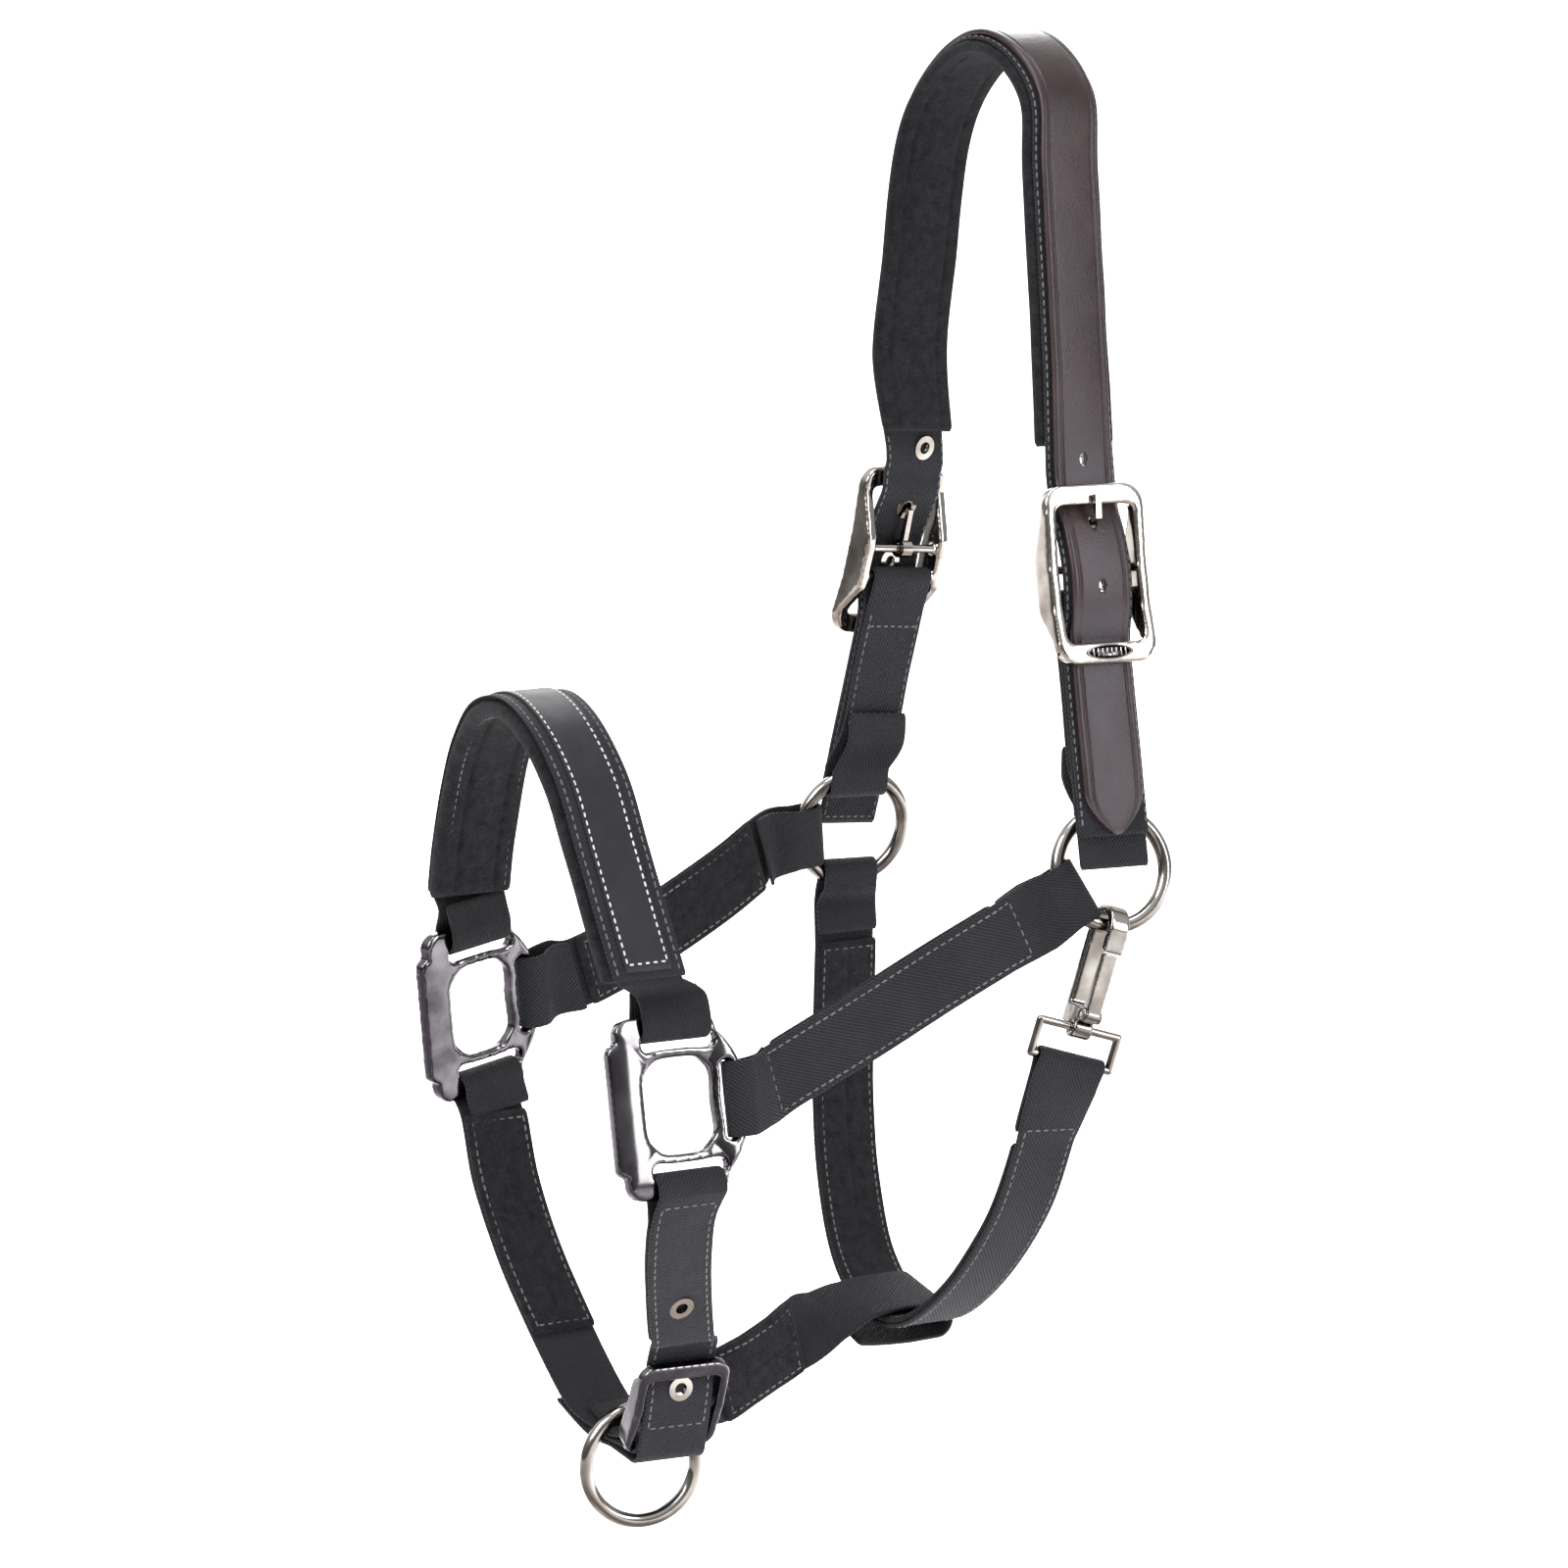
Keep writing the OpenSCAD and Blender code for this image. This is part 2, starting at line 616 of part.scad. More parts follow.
module far_chin_strap() {
    color("black")
        difference() {
            ribbon(far_chin_route, strap_w, -web_t / 2, web_t / 2);
            // Room for the buckle's tongue in the fold
            place(chin_buckle_at) translate(chin_bar) cube([8, 22, 18], center = true);
        }
}
chin_first = fold_stations + 3;
module near_chin_lining() {
    color("black")
        ribbon_part(near_chin_route, strap_w, -lining_hi, -lining_lo, chin_first + 2, chin_first + 9);
}
module far_chin_lining() {
    color("black")
        ribbon_part(far_chin_route, strap_w, lining_lo, lining_hi, chin_first + 2, chin_first + 9);
}
// Places its children on the outer face of the near chin strap
module at_chin_eyelets() {
    for (e = [[near_chin_mids[2][0], 29, 7], [at(chin_buckle_at, [0, 0.4, 8]), 9, 8]])
        translate(e[0])
            rotate([0, 0, -e[2]])
                rotate([e[1], 0, 0])
                    rotate([-90, 0, 0])
                        translate([0, 0, -web_t / 2])
                            children();
}
module chin_eyelets() {
    color("silver") at_chin_eyelets() eyelet(web_t);
}

// ---- Chin buckle ----
module chin_buckle_body() {
    top = chin_buckle_h / 2;
    opening = strap_w + 2;
    intersection() {
        rotate([90, 0, 0])
            linear_extrude(40, center = true)
                difference() {
                    rounded_rectangle(chin_buckle_w, chin_buckle_h, 6);
                    translate([0, -3]) rounded_rectangle(opening, chin_buckle_h - 5.5, 2);
                }
        translate([-chin_buckle_w, 0, 0])
            rotate([90, 0, 90])
                linear_extrude(2 * chin_buckle_w)
                    polygon([[-1, top], [3, top], [4.4, 0], [2.6, -top], [-3.4, -top],
                        [-5.4, -top + 8], [-3.4, top - 8], [-1, top - 6]]);
    }
    translate(chin_bar)
        rotate([0, 90, 0])
            cylinder(r = chin_bar_r, h = opening + 4, center = true);
}
module chin_buckle_frame() {
    color("dimgray") place(chin_buckle_at) chin_buckle_body();
}
chin_tongue_line = [[-4.2, -15.4], [-6, 2], [-6.2, 17]];
module chin_buckle_tongue() {
    color("dimgray")
        place(chin_buckle_at) {
            translate(chin_bar) tongue_loop(chin_bar_r, 3.7, 5);
            bent_bar(chin_tongue_line, tongue_r);
        }
}

// ---- Throat strap ----
throat_mids = [
    [[-19, 78, -352], X1, 1],
    [[-22, 75, -378], X1, 1],
    [[-26, 70, -408], X1, 1],
    [[-31, 59, -443], X1, 1],
    [[-37, 40, -471], X1, 1],
    [[-41, 14, -486.5], X1, 1],
    [[-40, -10, -486.5], X1, 1],
    [[-37, -36, -467], X1, 1],
    [[-32, -56, -438], X1, 1],
    [[-29, -67, -409], X1, 1]];
eye_h = 13;
eye_bar = [0, 0, -eye_h];
eye_fold_r = eye_wire / 2 + run_gap + web_t / 2;
throat_angle = 270;
throat_route =
    let (r = far_ring_at, a = throat_angle, across = -ring_across(r, a), n = 0.8,
         c = fold_reach(strap_w * n / 2), x = dir(eye_at, X1))
    concat(
        smooth([
            [throat_mids[0][0] + [0, -fold_back - 0.9, 4], X1, 1],
            [ring_point(r, a, ring_r + 10, -1.6), across, 0.9],
            [ring_point(r, a, ring_r + 3, -ring_fold_r), across, n]], 3),
        wrap(ring_point(r, a, c, 0), ring_dir(r, a), dir(r, Y1), across, ring_fold_r, 90, n),
        smooth(concat(
            [[ring_point(r, a, ring_r + 3, ring_fold_r), across, n],
             [ring_point(r, a, ring_r + 10, 1.6), across, 0.9]],
            throat_mids,
            [[at(eye_at, eye_bar + [0, 0.9, -10]), x, 1],
             [at(eye_at, eye_bar + [0, eye_fold_r, -1]), x, 1]]), 3),
        wrap(at(eye_at, eye_bar), dir(eye_at, -Z1), dir(eye_at, -Y1), x, eye_fold_r, 90, 1),
        smooth([
            [at(eye_at, eye_bar + [0, -eye_fold_r, -1]), x, 1],
            [at(eye_at, eye_bar + [0, -0.9 - fold_back / 2, -10]), x, 1],
            [throat_mids[len(throat_mids) - 1][0] + [2, 1.4 + fold_back, 5], X1, 1]], 3));
module throat_strap() {
    color("black") ribbon(throat_route, strap_w, -web_t / 2, web_t / 2);
}
module throat_lining() {
    color("black")
        ribbon_part(throat_route, strap_w, lining_lo, lining_hi, cheek_first,
            cheek_first + 3 * (len(throat_mids) - 1));
}

// ---- Connector strap, from the chin straps to the throat strap ----
connector_mids = [
    [[-130, 6, -504], unit([-0.15, 0.2, 1]), 1],
    [[-116, 7, -499.5], unit([-0.2, 0, 1]), 1],
    [[-102, 9, -494.5], unit([-0.2, 0, 1]), 1],
    [[-90, 11, -490], unit([-0.1, 0.25, 1]), 1]];
loop_across = unit([0, 1, 0.3]);
connector_route = concat(
    smooth(concat(
        [[[-186, 4, under_z + 4.9], unit([0, 1, 0.45]), 0.45],
         [[-168, 4, under_z + 5.1], unit([0, 1, 0.45]), 0.45],
         [[-155, 5, under_z + 6.2], unit([0, 1, 0.6]), 0.6],
         [[-143, 5, under_z + 7], unit([0, 0.6, 1]), 0.85]],
        connector_mids,
        [[[-75, 12, -485], unit([0, 1, 0.6]), 1],
         [[-60, 12, -480], loop_across, 1],
         [[-44, 12, -479], loop_across, 1]]), 3),
    wrap([-30, 12, -485.6], -X1, -Z1, loop_across, 6.4, 85, 1),
    smooth([
        [[-44, 12, -492.2], loop_across, 1],
        [[-58, 12, -491.4], loop_across, 1],
        [[-68, 12, -489.2], unit([0, 1, 0.4]), 1]], 3));
module connector_strap() {
    color("black") ribbon(connector_route, strap_w, -web_t / 2, web_t / 2);
}
module connector_lining() {
    color("black")
        ribbon_part(connector_route, strap_w, lining_lo, lining_hi, 12, 19);
}

// ---- Snap hook ----
gate_pivot = [5.6, 6];
gate_pin_r = 1;
gate_hub_r = 2.8;
// Height of the closed gate's top, under the hook's tip
gate_top = 30.7;
module snap_eye() {
    w = 37 - eye_wire;
    color("silver")
        place(eye_at) {
            for (z = [0, -eye_h])
                translate([0, 0, z])
                    rotate([0, 90, 0])
                        cylinder(d = eye_wire, h = w, center = true);
            for (x = [-w / 2, w / 2]) {
                translate([x, 0, -eye_h]) cylinder(d = eye_wire, h = eye_h);
                for (z = [0, -eye_h])
                    translate([x, 0, z]) sphere(d = eye_wire, $fn = 24);
            }
        }
}
module hook_outline() {
    translate([-hook_outer_r, 4])
        square([hook_outer_r - hook_inner_r, hook_top_z - 4]);
    translate([hook_inner_r, gate_top + run_gap])
        square([hook_outer_r - hook_inner_r, hook_top_z - gate_top - run_gap]);
    intersection() {
        translate([0, hook_top_z])
            difference() {
                circle(r = hook_outer_r);
                circle(r = hook_inner_r);
            }
        translate([-10, hook_top_z]) square([20, 12]);
    }
    translate([-hook_outer_r, 1]) square([hook_outer_r + 2, 8]);
    circle(r = 4);
}
module snap_body() {
    color("silver")
        place(eye_at)
            difference() {
                union() {
                    slab(hook_t) hook_outline();
                    // Ears that hold the gate's pin
                    for (s = [-1, 1])
                        translate([s * (hook_t / 2 - 0.45), 0, 0])
                            slab(0.9) {
                                translate(gate_pivot) circle(r = gate_hub_r);
                                translate([1, gate_pivot[1] - gate_hub_r])
                                    square([gate_pivot[0] - 1, 2 * gate_hub_r]);
                            }
                }
                rotate([0, 90, 0]) cylinder(d = eye_wire + 0.1, h = hook_t + 2, center = true);
                translate([0, gate_pivot[0], gate_pivot[1]])
                    rotate([0, 90, 0])
                        cylinder(r = gate_pin_r, h = hook_t + 2, center = true);
            }
}
gate_w = 6;
module snap_gate() {
    color("silver")
        place(eye_at)
            difference() {
                slab(gate_w) {
                    polygon([[5.4, gate_top], [8.1, gate_top], [8.1, 6], [3.6, 6], [3.6, 9]]);
                    translate(gate_pivot) circle(r = gate_hub_r);
                }
                translate([0, gate_pivot[0], gate_pivot[1]])
                    rotate([0, 90, 0])
                        cylinder(r = gate_pin_r + 0.05, h = gate_w + 2, center = true);
                // Room for the spring's coil
                translate([0, gate_pivot[0], gate_pivot[1]])
                    rotate([0, 90, 0])
                        cylinder(r = 2.05, h = 2.4, center = true);
            }
}
module snap_gate_pin() {
    color("silver")
        place(eye_at)
            translate([0, gate_pivot[0], gate_pivot[1]])
                rotate([0, 90, 0])
                    cylinder(r = gate_pin_r, h = hook_t, center = true);
}
module snap_gate_spring() {
    color("silver")
        place(eye_at)
            for (x = [-0.8, 0, 0.8])
                translate([x, gate_pivot[0], gate_pivot[1]])
                    rotate([0, 90, 0])
                        rotate_extrude($fn = 24)
                            translate([1.55, 0]) circle(r = 0.35, $fn = 14);
}

crown_leather();
crown_webbing();
crown_pad();
crown_eyelets();
near_chape();
far_chape();
near_buckle_frame();
far_buckle_frame();
near_buckle_tongue();
far_buckle_tongue();
near_ring();
far_ring();
near_cheek_strap();
far_cheek_strap();
near_cheek_lining();
far_cheek_lining();
near_square();
far_square();
noseband_pad();
noseband_webbing();
noseband_strip();
near_chin_strap();
far_chin_strap();
near_chin_lining();
far_chin_lining();
chin_eyelets();
chin_buckle_frame();
chin_buckle_tongue();
chin_ring();
connector_strap();
connector_lining();
throat_strap();
throat_lining();
snap_eye();
snap_body();
snap_gate();
snap_gate_pin();
snap_gate_spring();
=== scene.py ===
import math
from bisect import bisect_right

import bpy
from mathutils import Matrix, Vector, noise


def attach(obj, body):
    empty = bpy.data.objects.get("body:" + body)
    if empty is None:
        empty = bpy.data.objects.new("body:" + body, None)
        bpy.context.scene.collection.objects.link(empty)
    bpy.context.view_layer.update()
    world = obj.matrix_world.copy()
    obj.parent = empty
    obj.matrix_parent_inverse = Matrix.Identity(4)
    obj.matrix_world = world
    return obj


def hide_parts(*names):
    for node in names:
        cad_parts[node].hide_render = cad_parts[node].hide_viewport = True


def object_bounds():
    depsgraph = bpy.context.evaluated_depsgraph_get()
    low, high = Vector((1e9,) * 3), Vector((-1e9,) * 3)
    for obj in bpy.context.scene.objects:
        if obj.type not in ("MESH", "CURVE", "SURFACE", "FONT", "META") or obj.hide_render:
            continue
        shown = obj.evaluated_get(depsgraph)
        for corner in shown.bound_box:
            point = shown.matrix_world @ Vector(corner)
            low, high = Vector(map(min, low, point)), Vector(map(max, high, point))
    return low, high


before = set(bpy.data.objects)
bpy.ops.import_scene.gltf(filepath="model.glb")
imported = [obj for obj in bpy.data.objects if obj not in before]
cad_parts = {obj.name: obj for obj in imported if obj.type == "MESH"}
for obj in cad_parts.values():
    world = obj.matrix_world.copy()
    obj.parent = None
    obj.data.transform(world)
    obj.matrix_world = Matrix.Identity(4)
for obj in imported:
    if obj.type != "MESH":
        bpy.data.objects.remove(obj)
cad_low, cad_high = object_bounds()
# Without a seed, noise_vector is seeded by the clock, and the straps' wobble changes each run
noise.seed_set(1)

MM = 0.001
X1 = Vector((1, 0, 0))
Y1 = Vector((0, 1, 0))
Z1 = Vector((0, 0, 1))
NEAR = -1
FAR = 1

# ---- Sizes shared with the CAD ----
STRAP_W = 28
CROWN_W = 30
LEATHER_W = 25.5
CROWN_PAD_W = 35
NOSE_PAD_W = 35
NOSE_STRIP_W = 20
WEB_T = 1.6
LEATHER_T = 2.6
LINING_T = 2.2
CROWN_PAD_T = 4
NOSE_PAD_T = 6
LAYER_GAP = 0.2
RUN_GAP = 0.3
RING_WIRE = 5.5
RING_R = (49 - RING_WIRE) / 2
SQUARE_H = 66.5
EYE_WIRE = 3.2
LINING_LO = WEB_T / 2 + LAYER_GAP
CROWN_OUT = WEB_T + LAYER_GAP
CROWN_BASE = CROWN_PAD_T + LAYER_GAP


# Rows of stitching, from a strap's middle line
CROWN_ROW = 13.9
CHAPE_END_ROW = 13
CHAPE_EDGE_ROW = 12.8
SIDE_ROW = 11.4
NOSE_ROW = 13.4
NOSE_STRIP_ROW = 8.6

# Hidden fold-back ends that are drawn shorter than in the CAD
NOSE_FOLD_SHORT = 8
NEAR_CHIN_FOLD_SHORT = 5
FAR_CHIN_FOLD_SHORT = 9


# ---- Hardware frames: +x back, +y away from the head, +z up ----
class Place:
    """Where a piece of hardware sits: its origin, its turn, and its side."""

    def __init__(self, origin, lean, pitch, toe, side):
        self.origin = Vector(origin)
        self.turn = (
            Matrix.Rotation(math.radians(side * toe), 3, "Z")
            @ Matrix.Rotation(math.radians(side * lean), 3, "X")
            @ Matrix.Rotation(math.radians(-pitch), 3, "Y")
            @ Matrix.Diagonal((1, side, 1))
        )

    def dir(self, x, y, z):
        return self.turn @ Vector((x, y, z))

    def at(self, x, y, z):
        return self.origin + self.dir(x, y, z)

    def around(self, angle):
        """The direction at an angle of a ring's plane, from +x towards +z."""
        a = math.radians(angle)
        return self.dir(math.cos(a), 0, math.sin(a))

    def across(self, angle):
        a = math.radians(angle)
        return self.dir(math.sin(a), 0, -math.cos(a))

    def ring_point(self, angle, reach, depth):
        return self.origin + self.around(angle) * reach + self.dir(0, depth, 0)


NEAR_BUCKLE = Place((-6.5, -62, -192.5), 12, -0.5, 6, NEAR)
FAR_BUCKLE = Place((-2.5, 62, -195.5), 12, -5, 6, FAR)
NEAR_RING = Place(NEAR_BUCKLE.at(3, -8.5, -113), 12, 0, 16, NEAR)
FAR_RING = Place(FAR_BUCKLE.at(-3.5, -8.5, -112), 12, 0, -12, FAR)
NEAR_SQUARE = Place((-195.8, -66, -376.5), 10, 1, 6.5, NEAR)
FAR_SQUARE = Place((-197.5, 66, -358.5), 3, 8, 6.5, FAR)
CHIN_BUCKLE = Place((-172.5, -29, -498), -26, 0, 8, NEAR)
HOOK_TOP_Z = 39.2
HOOK_REACH = HOOK_TOP_Z + 5.6 - RING_WIRE / 2 - 1.8
EYE_TURN = (-2, -17, 12, NEAR)
EYE = Place(
    NEAR_RING.ring_point(264, RING_R, 0) - Place((0, 0, 0), *EYE_TURN).dir(0, 0, HOOK_REACH),
    *EYE_TURN,
)


# ---- Routes: lists of (point, width direction, width factor) ----
FINE = 3


def unit(x, y, z):
    return Vector((x, y, z)).normalized()


def spline_value(a, b, c, d, t):
    return 0.5 * (
        2 * b + (c - a) * t + (2 * a - 5 * b + 4 * c - d) * t**2 + (3 * b - a - 3 * c + d) * t**3
    )


def smooth(stations, steps):
    """A smooth route through the stations, with steps * FINE stretches between each two."""
    route = []
    last = len(stations) - 1
    count = steps * FINE
    for i in range(last):
        a, b = stations[max(i - 1, 0)], stations[i]
        c, d = stations[i + 1], stations[min(i + 2, last)]
        for k in range(count):
            t = k / count
            point = spline_value(a[0], b[0], c[0], d[0], t)
            route.append((point, b[1].lerp(c[1], t).normalized(), b[2] * (1 - t) + c[2] * t))
    return route + [stations[last]]


WRAP_STEPS = 24


def wrap(centre, along, out, across, r, half, factor):
    """A turn round a bar: along points away from its crest, out is the side it ends on."""
    angles = [math.radians(-half + 2 * half * k / WRAP_STEPS) for k in range(WRAP_STEPS + 1)]
    return [(centre + r * (out * math.sin(a) - along * math.cos(a)), across, factor) for a in angles]


def stations(*rows):
    return [(Vector(p), w, f) for p, w, f in rows]


def fold_reach(half_w):
    """Distance from a ring's centre to the fold of a strap with this half width."""
    return math.sqrt(RING_R**2 - half_w**2) - 0.7


BUCKLE_PASS = [(0.2, -101), (0.2, -70), (0.2, -45), (0.2, -34), (0.9, -25), (4.2, -15),
               (5.6, -5), (5.2, 4), (3.2, 14), (0.3, 22.6), (0.1, 30), (0, 40)]


def buckle_stations(f, shift):
    return [(f.at(shift * max(z - 16, 0) / 24, y, z), f.dir(1, 0, 0), 1) for y, z in BUCKLE_PASS]


CROWN_ARCH = stations(
    ((-5, -51, -118), X1, 1),
    ((-4, -46, -78), X1, 1),
    ((-3, -41, -42), X1, 1),
    ((1, -34, -17), X1, 1),
    ((1, -19, -1.5), X1, 1),
    ((0, 0, CROWN_BASE), X1, 1),
    ((-1, 19, -2.5), X1, 1),
    ((-4, 34, -19), X1, 1),
    ((-6, 42, -42), X1, 1),
    ((-7, 47, -78), X1, 1),
    ((-8, 52, -118), X1, 1),
)

RING_FOLD_R = RING_WIRE / 2 + RUN_GAP + WEB_T / 2
CHAPE_OUTER = -CROWN_OUT / 2 - 0.2
CHAPE_INNER = CHAPE_OUTER - WEB_T - LAYER_GAP
CHAPE_NARROW = 0.8


def chape_route(b, r):
    x, rx = b.dir(1, 0, 0), r.dir(1, 0, 0)
    reach = fold_reach(CROWN_W * CHAPE_NARROW / 2)
    tab = [(b.at(0, CHAPE_OUTER, z), x, 1) for z in (-113, -85, -50, -24)]
    down = [
        (b.at(0, CHAPE_INNER - 0.3, -24), x, 1),
        (b.at(0, CHAPE_INNER, -50), x, 1),
        (b.at(0, CHAPE_INNER - 0.4, -74), x, 1),
        (r.ring_point(90, RING_R + 3, RING_FOLD_R), rx, CHAPE_NARROW),
    ]
    back = [
        (r.ring_point(90, RING_R + 3, -RING_FOLD_R), rx, CHAPE_NARROW),
        (b.at(0, CHAPE_INNER - 5.4, -78), x, 1),
        (b.at(0, CHAPE_INNER - 3, -66), x, 1),
    ]
    return (
        smooth(tab, 2)
        + wrap(b.at(0, -1, -11.2), b.dir(0, 0, -1), b.dir(0, -1, 0), x, 2 + RUN_GAP + WEB_T / 2, 95, 1)
        + smooth(down, 3)
        + wrap(r.ring_point(90, reach, 0), r.dir(0, 0, 1), r.dir(0, -1, 0), rx,
               RING_FOLD_R, 90, CHAPE_NARROW)
        + smooth(back, 3)
    )


FOLD_BACK = WEB_T + LAYER_GAP
RING_NARROW = 0.88
SQUARE_FOLD_R = 5.6
REAR_BAR = (25.6, 0, 0)
TOP_BAR = (0.3, 0, SQUARE_H / 2 - 3.8)
BOTTOM_BAR = (0.3, 0, 3.8 - SQUARE_H / 2)


def beside(f, bar, x, y, z):
    return f.at(bar[0] + x, bar[1] + y, bar[2] + z)


def cheek_route(q, r, angle, mids):
    """From the fold-back end, round the square's rear bar, to the ring's fold."""
    up, across, slope = q.dir(0, 0, 1), r.across(angle), mids[0][1]
    reach = fold_reach(STRAP_W * RING_NARROW / 2)
    return (
        smooth([
            (mids[0][0] + q.dir(-3, -FOLD_BACK, -1), slope, 1),
            (beside(q, REAR_BAR, 10, -2.8, 1.5), up, 1),
            (beside(q, REAR_BAR, 3, 0.3 - SQUARE_FOLD_R, 0), up, 1)], 3)
        + wrap(q.at(*REAR_BAR), q.dir(1, 0, 0), q.dir(0, 1, 0), up, SQUARE_FOLD_R - 0.4, 90, 1)
        + smooth([
            (beside(q, REAR_BAR, 3, SQUARE_FOLD_R - 0.5, 0), up, 1),
            (beside(q, REAR_BAR, 11, 1.4, 2.4), up, 1),
            *mids,
            (r.ring_point(angle, RING_R + 13, 1.6), across, 1),
            (r.ring_point(angle, RING_R + 3, RING_FOLD_R), across, RING_NARROW)], 3)
        + wrap(r.ring_point(angle, reach, 0), r.around(angle), r.dir(0, -1, 0), across,
               RING_FOLD_R, 90, RING_NARROW)
        + smooth([
            (r.ring_point(angle, RING_R + 3, -RING_FOLD_R), across, RING_NARROW),
            (r.ring_point(angle, RING_R + 13, -3.2), across, 1),
            (mids[-1][0] + q.dir(3, -FOLD_BACK - 1.6, 1), slope, 1)], 3)
    )


NEAR_CHEEK_UP = unit(-0.41, 0, 0.91)
FAR_CHEEK_UP = unit(-0.31, 0, 0.95)
NEAR_CHEEK_MIDS = stations(
    ((-150, -68, -370), NEAR_CHEEK_UP, 1),
    ((-117, -71, -355), NEAR_CHEEK_UP, 1),
    ((-83, -74, -339), NEAR_CHEEK_UP, 1),
    ((-56, -77, -326.5), NEAR_CHEEK_UP, 1),
)
FAR_CHEEK_MIDS = stations(
    ((-150, 68, -350), FAR_CHEEK_UP, 1),
    ((-117, 71, -339), FAR_CHEEK_UP, 1),
    ((-83, 74, -324), FAR_CHEEK_UP, 1),
    ((-64, 76, -314), FAR_CHEEK_UP, 1),
)

NOSE_ARCH = stations(
    ((-207, -64.5, -330), X1, 1),
    ((-212, -60, -307), X1, 1),
    ((-216, -53, -282), X1, 1),
    ((-217.5, -42, -258), X1, 1),
    ((-217.5, -24, -240), X1, 1),
    ((-214, 0, -232.5), X1, 1),
    ((-210, 25, -237), X1, 1),
    ((-207, 42, -251), X1, 1),
    ((-205, 54, -271), X1, 1),
    ((-204.5, 62, -296), X1, 1),
    ((-204, 66, -314), X1, 1),
)


def square_bar_fold(q, bar, up, turn_in, end_in, end_z):
    """From the fold-back end, round a square's top or bottom bar; up is 1 or -1."""
    x = q.dir(1, 0, 0)
    return (
        smooth([
            (beside(q, bar, 0, -end_in, end_z * up), x, 1),
            (beside(q, bar, 0, -turn_in, 12 * up), x, 1),
            (beside(q, bar, 0, 0.3 - SQUARE_FOLD_R, 3 * up), x, 1)], 3)
        + wrap(q.at(*bar), q.dir(0, 0, up), q.dir(0, 1, 0), x, SQUARE_FOLD_R - 0.4, 90, 1)
    )


def nose_end(q, pad_end):
    x = q.dir(1, 0, 0)
    return square_bar_fold(q, TOP_BAR, 1, 3.2, 2.6, 22) + smooth([
        (beside(q, TOP_BAR, 0, SQUARE_FOLD_R - 0.5, 3), x, 1),
        (beside(q, TOP_BAR, 0, 2, 11), x, 1),
        pad_end], 3)


CHIN_BAR = (0, -1, -17.5)
CHIN_BAR_R = 2.2
CHIN_PASS = [(-3.8, 26), (-3.2, 17), (0.4, 8), (2.6, -2), (3.9, -11)]
CHIN_PASS_R = CHIN_BAR_R + 2 * (RUN_GAP + WEB_T) + WEB_T / 2
CHIN_X = CHIN_BUCKLE.dir(1, 0, 0)
CHIN_WRAP = math.radians(39)
UNDER_NARROW = 0.86
UNDER_Z = -512
NEAR_CHIN_MIDS = stations(
    ((-197, -71, -419), X1, 1),
    ((-192.5, -62, -437), X1, 1),
    ((-185.5, -52, -455), X1, 1),
    ((-179, -44, -470), X1, 1),
)
FAR_CHIN_MIDS = stations(
    ((-194, 63, -400), X1, 1),
    ((-193, 56, -425), X1, 1),
    ((-189.5, 44, -453), X1, 1),
    ((-184, 30, -480), X1, 1),
)


def near_chin_route():
    q = NEAR_SQUARE
    bar = CHIN_BUCKLE.at(*CHIN_BAR)
    return (
        square_bar_fold(q, BOTTOM_BAR, -1, 6.2, 9.8, 19)
        + smooth([(beside(q, BOTTOM_BAR, 0, SQUARE_FOLD_R - 0.5, -3), q.dir(1, 0, 0), 1)]
                 + NEAR_CHIN_MIDS
                 + [(CHIN_BUCKLE.at(0, y, z), CHIN_X, 1) for y, z in CHIN_PASS], 3)
        + wrap(bar, CHIN_BUCKLE.dir(0, -math.sin(CHIN_WRAP), math.cos(CHIN_WRAP)),
               CHIN_BUCKLE.dir(0, -math.cos(CHIN_WRAP), -math.sin(CHIN_WRAP)), CHIN_X,
               CHIN_PASS_R, 31, 1)
        + smooth(stations(
            ((-175, -8, UNDER_Z - 4), CHIN_X, UNDER_NARROW),
            ((-177, 4, UNDER_Z - 1.6), CHIN_X, UNDER_NARROW),
            ((-181, 18, UNDER_Z + 10), X1, 1)), 3)
    )


def far_chin_route():
    q = FAR_SQUARE
    bar = CHIN_BUCKLE.at(*CHIN_BAR)
    return (
        square_bar_fold(q, BOTTOM_BAR, -1, 8.2, 11, 19)
        + smooth([(beside(q, BOTTOM_BAR, 0, SQUARE_FOLD_R - 0.5, -3), q.dir(1, 0, 0), 1)]
                 + FAR_CHIN_MIDS
                 + stations(
                     ((-180, 14, UNDER_Z + 10), X1, 1),
                     ((-177, 4, UNDER_Z + 2.2), CHIN_X, UNDER_NARROW),
                     ((-175, -8, UNDER_Z), CHIN_X, UNDER_NARROW),
                     ((-174.4, -14, UNDER_Z + 0.6), CHIN_X, UNDER_NARROW)), 3)
        + wrap(bar, Y1, -Z1, CHIN_X, CHIN_BAR_R + RUN_GAP + WEB_T / 2, 90, 1)
        + smooth(stations(
            ((-174.4, -14, UNDER_Z - 2.7), CHIN_X, UNDER_NARROW),
            ((-175, -8, UNDER_Z - 2.05), CHIN_X, UNDER_NARROW),
            ((-177, 4, UNDER_Z + 0.1), CHIN_X, UNDER_NARROW)), 3)
    )


